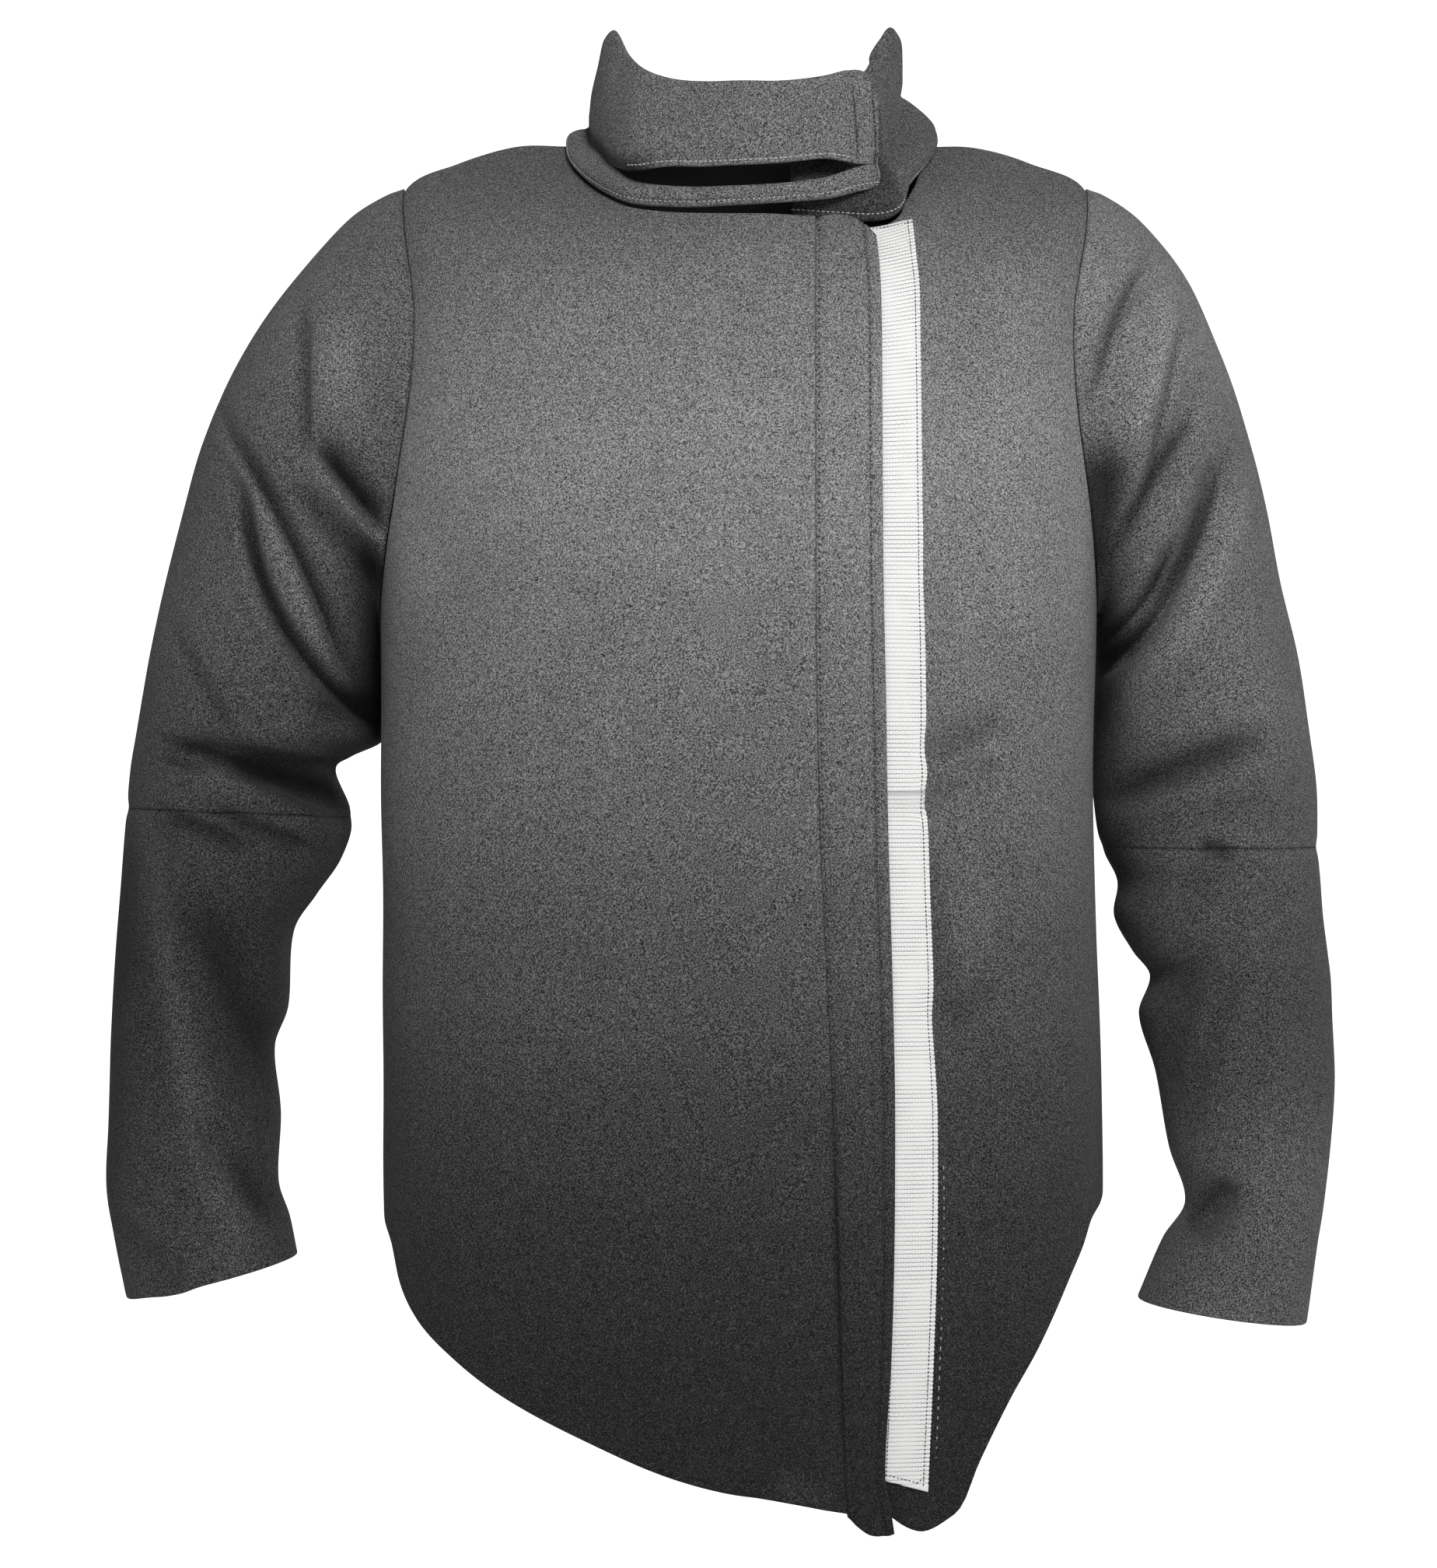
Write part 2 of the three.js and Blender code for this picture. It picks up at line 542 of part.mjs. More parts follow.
// A point of the collar strip, from the neck seam (0) to the top edge (1).
const COLLAR_LEVELS = ['seam', 'belly', 'join', 'mid', 'top'];
const COLLAR_SHARES = [0, 0.18, COLLAR_JOIN, 0.68, 1];
function collarSurface(travel, share) {
  const row = readTable(COLLAR, 'travel', travel);
  const angle = travel % 360;
  const neck = travel > 270 ? UNDER_NECK : OVER_NECK;
  const start = travel > 180 && travel < 360 ? 0 : readTable(neck, 'angle', angle).level;
  const base = bodyForm(angle, start);
  const under = travel > 360 ? underDrop(base.x, angle) : 0;
  const across = bodyForm(angle + 1, start).sub(bodyForm(angle - 1, start)).setZ(0).normalize();
  const outward = new THREE.Vector3(across.y, -across.x, 0).multiplyScalar(-1);
  const profile = COLLAR_LEVELS.map((name, k) => (
    { share: COLLAR_SHARES[k], out: row[`${name}Out`], up: row[`${name}Up`] }
  ));
  const { out, up } = readTable(profile, 'share', share);
  return base.addScaledVector(outward, out + under).add(new THREE.Vector3(0, 0, up));
}

function collarGrid(rows, lowShare, highShare) {
  const outer = [];
  const inner = [];
  for (let s = 0; s <= COLLAR_STEPS; s += 1) {
    const travel = COLLAR_FROM + ((COLLAR_TO - COLLAR_FROM) * s) / COLLAR_STEPS;
    const low = lowShare(travel);
    const high = highShare(travel);
    const outerLine = [];
    const innerLine = [];
    for (let r = 0; r <= rows; r += 1) {
      const share = low + ((high - low) * r) / rows;
      const point = collarSurface(travel, share);
      const normal = normalOf(collarSurface, travel, share, 1, 0.02);
      outerLine.push(point);
      innerLine.push(point.clone().addScaledVector(normal, COLLAR_CLOTH));
    }
    outer.push(outerLine);
    inner.push(innerLine);
  }
  return { outer, inner };
}

// Share of the strip's height that a distance takes up at its join.
const bandShare = (distance) => distance / 62;

function collarBands() {
  const slot = (travel) => (
    ease(travel, SLOT_FROM, SLOT_FROM + 18) * (1 - ease(travel, SLOT_TO - 30, SLOT_TO))
  );
  const join = bandShare(SEAM_GAP);
  const lowTop = (travel) => COLLAR_JOIN - join - bandShare(SLOT_HEIGHT / 2) * slot(travel);
  const highBottom = (travel) => COLLAR_JOIN + join + bandShare(SLOT_HEIGHT / 2) * slot(travel);
  const low = collarGrid(4, () => 0.01, lowTop);
  const high = collarGrid(5, highBottom, () => 1);
  return [
    piece('collar_lower_band', wall(low), CLOTH_FINISH),
    piece('collar_upper_band', wall(high), CLOTH_FINISH),
  ];
}

// Plain form of a sleeve part. turn is 0 on the outer edge, 90 in front, 180 on the inner edge.
function sleeveForm(rings, side) {
  return (turn, along) => {
    const ring = readTable(rings, 'along', along);
    const a = THREE.MathUtils.degToRad(turn);
    const out = (1 + Math.cos(a)) / 2;
    const forth = Math.sin(a);
    return new THREE.Vector3(
      side * (ring.inX + (ring.outX - ring.inX) * out),
      ring.y - forth * (forth > 0 ? ring.front : ring.back),
      ring.inZ + (ring.outZ - ring.inZ) * out,
    );
  };
}

// The sleeve's root: the armhole edge, at a turn round the sleeve, lifted off the body.
function rootPoint(side, turn, lift) {
  const front = Math.sin(THREE.MathUtils.degToRad(turn)) >= 0;
  const edge = armholeEdge(front ? turn : 360 - turn, ROOT_INSET);
  const middle = side === RIGHT ? 180 : 360;
  const forwards = side === RIGHT ? -1 : 1;
  const angle = middle + forwards * (front ? edge.offset : -edge.offset);
  const surface = side === LEFT && front ? underSurface : bodySurface;
  const point = surface(angle, edge.level);
  return point.addScaledVector(normalOf(surface, angle, edge.level, BODY_STEP, BODY_STEP), lift);
}

const SLEEVE_STEP = 2;
const CAP_LENGTH = 80; // how far down the sleeve the armhole's own outline still shows

function sleeveSurface(rings, side) {
  const form = sleeveForm(rings, side);
  const folded = raised(form, SLEEVE_STEP, SLEEVE_STEP, side, (point, normal) => (
    foldSum(SLEEVE_FOLDS[side], point.x, point.z) * ease(-normal.y, 0, 0.5)
  ));
  return (turn, along) => {
    const keep = 1 - ease(along, 0, CAP_LENGTH);
    const root = rootPoint(side, (turn + 360) % 360, ROOT_LIFT + CLOTH);
    const pull = root.sub(form(turn, 0)).multiplyScalar(keep);
    return folded(turn, along).lerp(form(turn, along), 1 - ease(along, 0, 30)).add(pull);
  };
}

// A sleeve part as a looped wall, above or below the seam at the elbow.
function sleevePart(name, side, rows, upper) {
  const rings = SLEEVE[side];
  const surface = sleeveSurface(rings, side);
  const first = upper ? 0 : ELBOW[side] + ELBOW_GAP / 2;
  const end = upper ? ELBOW[side] - ELBOW_GAP / 2 : rings[rings.length - 1].along;
  const steps = HALF_SLEEVE_STEPS * 2;
  const outer = [];
  const inner = [];
  for (let s = 0; s < steps; s += 1) {
    const turn = (360 * s) / steps;
    const outerLine = [];
    const innerLine = [];
    for (let r = 0; r <= rows; r += 1) {
      const along = first + ((end - first) * r) / rows;
      const root = upper && r === 0;
      const point = root ? rootPoint(side, turn, ROOT_LIFT + CLOTH) : surface(turn, along);
      const normal = normalOf(surface, turn, along, SLEEVE_STEP, SLEEVE_STEP).multiplyScalar(side);
      outerLine.push(point);
      const under = root ? rootPoint(side, turn, ROOT_LIFT) : point.clone().addScaledVector(normal, -CLOTH);
      innerLine.push(under);
    }
    outer.push(outerLine);
    inner.push(innerLine);
  }
  return piece(name, wall({ outer, inner }, true), CLOTH_FINISH);
}

const jacket = new THREE.Group();
jacket.add(overFront(), underFront(), backPanel(), placket(), tape(), ...collarBands());
jacket.add(sleevePart('upper_sleeve_right', RIGHT, 20, true));
jacket.add(sleevePart('upper_sleeve_left', LEFT, 18, true));
jacket.add(sleevePart('lower_sleeve_right', RIGHT, 13, false));
jacket.add(sleevePart('lower_sleeve_left', LEFT, 13, false));

export default jacket;
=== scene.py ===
# %% [markdown]
# # Fencing jacket
# A closed, padded fencing jacket that stands as if it were worn. Each cut piece of cloth is made
# here as a thin rounded shell on the form of its rigid solid, with finer creases, seams, stitches
# and a woven finish. All sizes are in millimetres until a mesh is written, and then in metres.

# %% Load the rigid frame
import math

import bpy
import numpy as np
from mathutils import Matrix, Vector


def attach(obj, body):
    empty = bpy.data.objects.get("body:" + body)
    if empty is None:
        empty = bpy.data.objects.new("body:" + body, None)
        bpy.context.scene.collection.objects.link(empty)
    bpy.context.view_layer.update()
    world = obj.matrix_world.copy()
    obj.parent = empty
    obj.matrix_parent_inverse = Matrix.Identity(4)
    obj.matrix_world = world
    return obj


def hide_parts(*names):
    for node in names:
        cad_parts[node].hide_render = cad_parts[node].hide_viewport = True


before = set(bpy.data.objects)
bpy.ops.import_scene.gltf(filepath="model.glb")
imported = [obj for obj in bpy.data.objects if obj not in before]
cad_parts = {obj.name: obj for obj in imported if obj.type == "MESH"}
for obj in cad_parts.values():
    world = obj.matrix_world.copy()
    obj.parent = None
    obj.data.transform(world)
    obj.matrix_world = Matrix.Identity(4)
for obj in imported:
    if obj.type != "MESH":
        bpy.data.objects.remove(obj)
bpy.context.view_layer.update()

MM = 0.001

# %% [markdown]
# ## Camera
# The picture was taken straight from the front with a long lens, level with the middle of the
# jacket. A camera can be turned towards its subject or only moved: it is only moved here, so that
# upright lines stay upright.

# %% Camera
CAMERA_AT = (-14.348, -2300.0, -355.652)
FOCAL_PIXELS = 5290
IMAGE_HEIGHT = 2016
SENSOR = 36.0

camera_data = bpy.data.cameras.new("front_camera")
camera_data.sensor_width = SENSOR
camera_data.lens = SENSOR * FOCAL_PIXELS / IMAGE_HEIGHT
camera = bpy.data.objects.new("front_camera", camera_data)
camera.location = [value * MM for value in CAMERA_AT]
camera.rotation_euler = (math.radians(90), 0, 0)
bpy.context.collection.objects.link(camera)
bpy.context.scene.camera = camera
print("lens", round(camera_data.lens, 2), "mm")

# %% [markdown]
# ## Reading a pattern table
# A dressmaker's block is a short table of girths and heights, and the cloth runs smoothly between
# them. Splines could be drawn by hand, but a table keeps every size readable. Each reading follows
# a smooth curve through the rows.

# %% Tables
def table(columns, rows):
    """Rows of numbers as named columns."""
    return {name: np.array([row[k] for row in rows], float) for k, name in enumerate(columns.split())}


def smooth(places, values, at):
    """Value at a place between the rows, on a smooth curve."""
    steps = np.arange(len(places))
    before, after = np.maximum(steps - 1, 0), np.minimum(steps + 1, len(places) - 1)
    width = (places[after] - places[before]).reshape((-1,) + (1,) * (values.ndim - 1))
    slope = (values[after] - values[before]) / width
    at = np.clip(at, places[0], places[-1])
    k = np.clip(np.searchsorted(places, at, side="right") - 1, 0, len(places) - 2)

    def pick(rows, row):
        return rows[row] if rows.ndim == 1 else np.take_along_axis(rows, row[None], 0)[0]

    span = places[k + 1] - places[k]
    t = (at - places[k]) / span
    low, high = pick(values, k), pick(values, k + 1)
    bend = (1 - t) * pick(slope, k) - t * pick(slope, k + 1)
    return low + (high - low) * t * t * (3 - 2 * t) + t * (1 - t) * bend * span


def read(rows, key, at, column):
    return smooth(rows[key], rows[column], np.asarray(at, float))


def ease(x, start, end):
    t = np.clip((np.asarray(x, float) - start) / (end - start), 0, 1)
    return t * t * (3 - 2 * t)


def power(value, exponent):
    return np.sign(value) * np.abs(value) ** exponent


# %% [markdown]
# ## The body's block
# Rings run from the neck seam down to the hem. Level 0 is the neck seam, and below the armpits a
# level is the depth under the neck. A ring is a squared ellipse, because a filled-out jacket is
# flatter in front and behind than an ellipse, with rounder sides.

# %% Body rings and hem lines
CLOTH = 2.6  # wall of the padded cloth
COLLAR_CLOTH = 3.2
SEAM_GAP = 0.1
UNDER_DROP = 5.4  # how far the under front lies inside the over front
UNDER_EDGE_X = 30
SHOULDER_LEVEL = 90
ARMPIT_LEVEL = 262
ARMHOLE_TURN = 24
ARMHOLE_SKEW = 0.45

BODY = table(
    "level sideZ frontZ backZ right left front back square fall",
    [
        [0, 1, -48, 2, 98, 99, 86, 58, 2.0, 0.85],
        [30, 1, -64, -9, 128, 128, 97, 71, 2.05, 1.0],
        [60, -8, -82, -25, 160, 160, 106, 82, 2.1, 1.08],
        [90, -24, -103, -48, 190, 191, 113, 91, 2.12, 1.15],
        [125, -76, -132, -92, 197, 196, 120, 101, 2.25, 1.3],
        [175, -150, -178, -158, 200, 197, 127, 110, 2.4, 1.6],
        [262, -262, -262, -262, 202, 196, 133, 118, 2.5, 1.6],
        [352, -352, -352, -352, 202, 194, 131, 116, 2.5, 1.6],
        [440, -440, -440, -440, 201, 196, 129, 115, 2.5, 1.6],
        [530, -530, -530, -530, 201, 199, 128, 118, 2.5, 1.6],
        [620, -620, -620, -620, 200, 199, 125, 121, 2.5, 1.6],
        [770, -770, -770, -770, 196, 196, 112, 121, 2.5, 1.6],
    ],
)
HEM_OVER = table(
    "angle level",
    [
        [76, 748], [78.4, 744.4], [82.7, 741.2], [90.4, 734], [98.3, 724], [111.6, 704],
        [125.2, 685], [137.8, 666], [149.8, 647], [158.6, 628], [163.7, 608], [172, 598], [180, 593],
    ],
)
HEM_UNDER = table(
    "angle level",
    [
        [0, 580], [12, 587], [20, 594], [24.3, 606], [31.6, 626], [43, 666], [48.2, 686],
        [54.8, 720], [58, 742], [61, 750], [65.5, 756], [69, 753], [73, 744], [78, 737], [84, 730],
    ],
)
HEM_PLACKET = table(
    "angle level",
    [
        [68, 748], [70.5, 752], [71.2, 755.4], [73.2, 756.5], [75.3, 755.5], [77, 751], [78.4, 746],
        [82, 743],
    ],
)
HEM_BACK = table("angle level", [[180, 593], [225, 602], [270, 608], [315, 598], [360, 580]])
CLOSING = table(
    "level seam edge tape",
    [
        [0, 38, 69, 88], [26, 38, 70, 91], [59, 37.6, 72, 93], [90, 37.3, 72.8, 94.8],
        [228, 37, 73, 95.9], [311, 37.7, 74.4, 96.7], [394, 39.8, 76.1, 98.4],
        [476, 44, 78.6, 101.5], [538, 46.4, 79.5, 103.4], [600, 48.5, 79.2, 103.1],
        [662, 50.6, 77.7, 101.3], [725, 53, 74.6, 98.8], [742, 54.2, 77.6, 98], [770, 56, 82, 97],
    ],
)
OVER_NECK = table(
    "angle level",
    [[60, 0], [95, 0], [105, 1.5], [114, 4], [125, 7.5], [138, 4], [150, 1], [160, 0], [180, 0]],
)
OVER_TOP = table(
    "angle level",
    [
        [62, 7], [69, 6], [73, 4.5], [79, 1.5], [86, 0], [95, 0], [105, 1.5], [114, 4], [125, 7.5],
        [138, 4], [150, 1], [160, 0], [180, 0],
    ],
)
UNDER_NECK = table(
    "angle level",
    [[0, 0], [8, 1], [18, 2], [34, 9], [46, 24], [54, 25], [62, 16], [72, 8], [84, 6]],
)
print("body rings", len(BODY["level"]))

# %% [markdown]
# ## Creases
# Padded cloth creases where the arm hangs against the body and where the elbow bends. Simulated
# cloth would crease somewhere else each time, so each crease is given as a soft trough or
# ridge along a line in the front view, with its own reach on either side.

# %% Creases of the body and the sleeves
FOLD = "x1 z1 x2 z2 bow wide steep height"
BODY_FOLDS = table(
    FOLD,
    [
        [117, -80, 114, -240, 4, 18, 18, -3],
        [112, -240, 168, -318, 6, 16, 16, -6],
        [100, -340, 140, -322, -3, 9, 9, -4],
        [98, -369, 136, -342, -2, 9, 8, -3],
        [112, -480, 160, -540, 5, 18, 18, -4],
        [-190, -200, -140, -250, 5, 16, 16, -3],
    ],
)
BACK_FOLDS = table(
    FOLD,
    [
        [-150, -120, -120, -260, 8, 18, 18, -4],
        [150, -120, 118, -260, -8, 18, 18, -4],
        [-120, -395, 60, -420, 8, 14, 14, -4],
        [-70, -450, 130, -440, -8, 16, 16, -4],
    ],
)
FINE_BODY_FOLDS = table(
    FOLD,
    [
        [98, -369, 134, -343, -2, 4, 2.6, -2.4],
        [100, -350, 130, -330, 0, 8, 8, 1.6],
        [39.5, -57, 41, -65, 0, 1.6, 1.6, -1.2],
        [100, -470, 128, -500, 3, 10, 8, -1.8],
        [118, -540, 142, -610, 4, 12, 12, -1.6],
        [-172, -226, -150, -262, 3, 8, 8, -1.2],
        [20, -690, 46, -740, -3, 9, 7, 2.0],
    ],
)
FINE_BACK_FOLDS = table(
    FOLD,
    [
        [-110, -385, -20, -404, 4, 6, 4, -1.6],
        [30, -432, 120, -424, -4, 6, 4, -1.5],
        [-138, -150, -126, -236, 3, 7, 5, -1.4],
        [138, -146, 124, -240, -3, 7, 5, -1.4],
        [-60, -520, 50, -536, 6, 12, 10, -1.2],
    ],
)
RIGHT_FOLDS = table(
    FOLD,
    [
        [-233, -173, -202, -213, 1, 12, 2, -7],
        [-236, -172, -198, -221, 4, 6, 6, 4],
        [-242, -196, -198, -246, -1, 9, 9, -6],
        [-277, -197, -209, -321, 15, 10, 4, -6],
        [-312, -333, -218, -364, -3, 8, 10, -9],
        [-300, -352, -232, -384, -8, 8, 8, 3],
        [-281, -425, -268, -520, 4, 14, 14, -4],
        [-292, -540, -262, -584, 3, 10, 10, -4],
        [-342, -598, -305, -632, -2, 9, 9, -4],
    ],
)
LEFT_FOLDS = table(
    FOLD,
    [
        [220, -70, 191, -142, 3.6, 6, 8, -3.5],
        [205, -175, 192, -223, -2, 6, 12, -8],
        [250, -129, 226, -194, 0, 9, 7, -4],
        [260, -187, 199, -295, -9, 5, 12, -7],
        [281, -332, 206, -362, 2, 10, 12, -6],
        [300, -372, 214, -386, 5, 9, 9, -4],
        [274, -398, 240, -416, 3, 9, 9, -4],
        [246, -450, 228, -540, 3, 12, 12, -4],
        [262, -575, 246, -596, 2, 12, 8, -5],
    ],
)
FINE_RIGHT_FOLDS = table(
    FOLD,
    [
        [-241, -95, -238, -172, 0, 1.5, 6, -3.5],
        [-233, -95, -230, -168, 0, 5, 5, 2],
        [-233, -173, -203, -212, 1, 5, 1.4, -3],
        [-284, -163, -223, -287, -5, 7, 2, -5],
        [-288, -166, -228, -290, -5, 3, 5, 1.8],
        [-270, -203, -225, -300, 6, 6, 6, 3.5],
        [-277, -197, -209, -321, 15, 6, 2, -4.5],
        [-282, -202, -216, -326, 15, 4, 6, 2],
        [-316, -271, -282, -328, 0, 5, 3, -2],
        [-275, -345, -220, -364, -1, 6, 8, -4],
        [-321, -342, -301, -347, 0, 3, 3, -3],
        [-300, -360, -262, -366, 0, 5, 5, 1.5],
        [-320, -372, -275, -388, -1, 3, 7, -4.5],
        [-289, -371, -243, -389, -1, 3, 7, -4.5],
        [-330, -376, -312, -392, 0, 3, 4, -2.5],
        [-311, -389, -297, -457, 3, 9, 9, 2.2],
        [-299, -416, -270, -464, 1, 7, 3, -4],
        [-332, -440, -318, -520, 2, 8, 5, -2.0],
        [-299, -535, -280, -563, 1, 7, 3, -4],
        [-326, -560, -290, -598, -2, 7, 5, -2.0],
    ],
)
FINE_LEFT_FOLDS = table(
    FOLD,
    [
        [240, -105, 222, -186, 1, 3, 3, -2.6],
        [232, -96, 208, -176, -4, 7, 7, 1.8],
        [220, -70, 191, -142, 3.6, 2.5, 4, -3],
        [241, -161, 207, -223, 2.5, 3, 6, -4.5],
        [252, -150, 214, -240, -5, 7, 7, 2.6],
        [260, -187, 199, -295, -9, 1.8, 8, -4.5],
        [276, -190, 214, -304, -10, 9, 9, 2.6],
        [233, -227, 202, -275, -3.5, 2.2, 5, -4],
        [204, -364, 284, -330, -2, 5, 5, -2.5],
        [300, -352, 236, -366, 4, 6, 6, 2.0],
        [250, -389, 266, -395, 0, 4, 4, -4],
        [300, -396, 258, -404, 2, 5, 5, 2.0],
        [296, -412, 262, -424, 2, 6, 4, -2.0],
        [266, -462, 242, -545, 3, 7, 5, -2.6],
        [292, -470, 280, -560, -2, 10, 10, 1.8],
        [262, -574, 244, -600, 2, 8, 4, -3.0],
    ],
)
# Places that get less light than their slope tells, such as a fold's inside. Height is the share
# of light that is lost, and below nought the share that a raised fold gains.
RIGHT_SHADES = table(
    FOLD,
    [
        [-207, -225, -205, -323, 0, 10, 12, 0.75],
        [-239, -311, -205, -314, 0, 8, 9, 0.6],
        [-316, -332, -265, -349, -2, 4, 5, 0.85],
        [-276, -346, -218, -364, -1, 10, 12, 0.95],
        [-321, -342, -301, -347, 0, 2, 2, 0.5],
        [-231, -175, -203, -210, 0, 10, 1.6, 0.9],
        [-277, -197, -209, -321, 15, 8, 1.5, 0.85],
        [-284, -163, -223, -287, -5, 6, 1.3, 0.75],
        [-242, -196, -198, -246, -1, 7, 6, 0.45],
        [-240.5, -97, -238, -172, 0, 1.2, 5, 0.5],
        [-316, -271, -282, -328, 0, 5, 3, 0.3],
        [-320, -372, -275, -388, -1, 2.5, 6, 0.5],
        [-289, -371, -243, -389, -1, 2.5, 6, 0.5],
        [-306, -426, -263, -512, -2, 12, 7, 0.5],
        [-282, -560, -262, -592, 0, 6, 4, 0.5],
        [-347, -400, -347, -600, 0, 9, 9, 0.35],
        [-222, -100, -219, -158, 0, 14, 14, -0.35],
        [-289, -166, -229, -291, -5, 3, 4, -0.4],
        [-238, -176, -203, -219, 3, 3, 6, -0.6],
        [-268, -206, -226, -298, 6, 7, 7, -0.4],
        [-300, -352, -262, -362, 0, 5, 5, -0.3],
        [-326, -392, -272, -608, 7, 8, 9, -0.6],
        [-345, -385, -342, -470, 0, 12, 12, 0.3],
    ],
)
BODY_SHADES = table(
    FOLD,
    [
        [98, -368, 134, -344, -2, 5, 3, 0.55],
        [98, -340, 136, -322, 0, 9, 9, 0.4],
        [100, -395, 106, -470, 0, 8, 10, 0.25],
        [108, -478, 134, -462, 0, 7, 7, 0.25],
        [110, -353, 134, -334, 0, 5, 5, -0.25],
        [125, -400, 118, -450, 0, 12, 12, -0.15],
        [18, -728, 44, -738, 0, 9, 6, -0.9],
        [197, -170, 197, -350, 0, 8, 7, 0.5],
        [-203, -240, -203, -320, 0, 8, 5, 0.35],
    ],
)
LEFT_SHADES = table(
    FOLD,
    [
        [196, -172, 191, -238, 0, 12, 14, 0.85],
        [260, -187, 199, -295, -9, 1.5, 8, 0.8],
        [233, -227, 202, -275, -3.5, 1.6, 5, 0.65],
        [241, -161, 207, -223, 2.5, 2, 5, 0.6],
        [240, -105, 222, -186, 1, 1.5, 3, 0.4],
        [220, -70, 191, -142, 3.6, 1.5, 5, 0.45],
        [198, -235, 198, -335, 0, 10, 10, 0.8],
        [278, -334, 206, -362, 2, 7, 9, 0.5],
        [250, -390, 268, -394, 0, 7, 6, 0.35],
        [212, -380, 200, -420, 0, 8, 8, 0.4],
        [262, -574, 244, -600, 2, 7, 3, 0.4],
        [256, -200, 214, -268, -9, 5, 5, -0.35],
        [232, -96, 208, -170, -4, 6, 6, -0.25],
        [276, -190, 214, -304, -10, 8, 6, -0.3],
    ],
)


def fold_sum(folds, x, z):
    """Height of all the folds together at a place in the front view."""
    total = np.zeros(np.broadcast(x, z).shape)
    for x1, z1, x2, z2, bow, wide, steep, height in zip(*[folds[name] for name in FOLD.split()]):
        along_x, along_z = x2 - x1, z2 - z1
        length = math.hypot(along_x, along_z)
        t = ((x - x1) * along_x + (z - z1) * along_z) / length**2
        inside = np.clip(t, 0, 1)
        side = ((z - z1) * along_x - (x - x1) * along_z) / length
        offset = side + bow * 4 * inside * (1 - inside)
        reach = np.where(offset > 0, wide, steep)
        fade = ease(t, -0.25, 0.25) * (1 - ease(t, 0.75, 1.25))
        total += height * fade * np.exp(-((offset / reach) ** 2))
    return total


def join(*tables):
    return {name: np.concatenate([t[name] for t in tables]) for name in tables[0]}


print("creases", sum(len(t["x1"]) for t in (BODY_FOLDS, BACK_FOLDS, RIGHT_FOLDS, LEFT_FOLDS)))

# %% [markdown]
# ## Surfaces
# A surface is a function of two numbers, such as the angle round the body and the level down it.
# Raising one along its own normals lays folds, stitched channels and the next layer on it. This
# keeps every piece on one shared form, so neighbours meet without being fitted to each other.

# %% Surfaces from functions
def turned(degrees):
    return np.radians(degrees)


def unit(vectors):
    return vectors / np.maximum(np.linalg.norm(vectors, axis=-1, keepdims=True), 1e-9)


def normal_of(surface, a, b, step_a, step_b):
    across_a = surface(a + step_a, b) - surface(a - step_a, b)
    across_b = surface(a, b + step_b) - surface(a, b - step_b)
    return unit(np.cross(across_a, across_b))


def raised(surface, step_a, step_b, turn, height):
    """The surface pushed out along its normals by height(point, normal, a, b)."""

    def result(a, b):
        point = surface(a, b)
        normal = normal_of(surface, a, b, step_a, step_b) * turn
        return point + normal * np.asarray(height(point, normal, a, b))[..., None]

    return result


def body_form(angle, level):
    """angle is 0 at the wearer's left, 90 in front, 180 at the right and 270 behind."""
    angle, level = np.broadcast_arrays(np.asarray(angle, float), np.asarray(level, float))
    ring = {name: smooth(BODY["level"], BODY[name], level) for name in BODY if name != "level"}
    across = power(np.cos(turned(angle)), 2 / ring["square"])
    forth = power(np.sin(turned(angle)), 2 / ring["square"])
    reach = np.abs(forth)
    far = np.where(forth > 0, ring["frontZ"], ring["backZ"])
    return np.stack(
        [
            across * np.where(across > 0, ring["left"], ring["right"]),
            -forth * np.where(forth > 0, ring["front"], ring["back"]),
            ring["sideZ"] + (far - ring["sideZ"]) * reach ** ring["fall"],
        ],
        -1,
    )


BODY_STEP = 0.8
FRONT_CREASES = join(BODY_FOLDS, FINE_BODY_FOLDS)
BACK_CREASES = join(BACK_FOLDS, FINE_BACK_FOLDS)


def body_creases(point, normal, angle, level):
    x, z = point[..., 0], point[..., 2]
    front = np.sin(turned(angle)) > 0
    height = np.where(front, fold_sum(FRONT_CREASES, x, z), fold_sum(BACK_CREASES, x, z))
    return height * ease(np.abs(normal[..., 1]), 0.2, 0.7)


body_surface = raised(body_form, BODY_STEP, BODY_STEP, 1, body_creases)


def under_drop(x, angle):
    return -UNDER_DROP * (1 - ease(x, 105, 160)) * ease(angle, 5, 35)


under_surface = raised(
    body_surface,
    BODY_STEP,
    BODY_STEP,
    1,
    lambda point, normal, angle, level: under_drop(point[..., 0], angle),
)


def angle_at(x, level):
    """Angle at which a level's ring passes a distance to the wearer's left of the middle."""
    level = np.asarray(level, float)
    left, right, square = [read(BODY, "level", level, name) for name in ("left", "right", "square")]
    reach = np.where(np.asarray(x) > 0, left, right)
    return np.degrees(np.arccos(power(x / reach, square / 2)))


def armhole_edge(turn, inset=0.0):
    """The armhole edge: turn is 0 at the shoulder point and 180 at the armpit."""
    a = turned(turn)
    middle = (SHOULDER_LEVEL + ARMPIT_LEVEL) / 2
    half = (ARMPIT_LEVEL - SHOULDER_LEVEL) / 2
    level = middle - (half - inset) * np.cos(a)
    offset = (ARMHOLE_TURN - inset) * np.sin(a) * (1 + ARMHOLE_SKEW * np.cos(a))
    return level, offset


def gap_turn(level):
    return np.degrees(SEAM_GAP / read(BODY, "level", level, "right"))


print("front reach at the chest", round(float(-body_form(90, 262)[1]), 1), "mm")

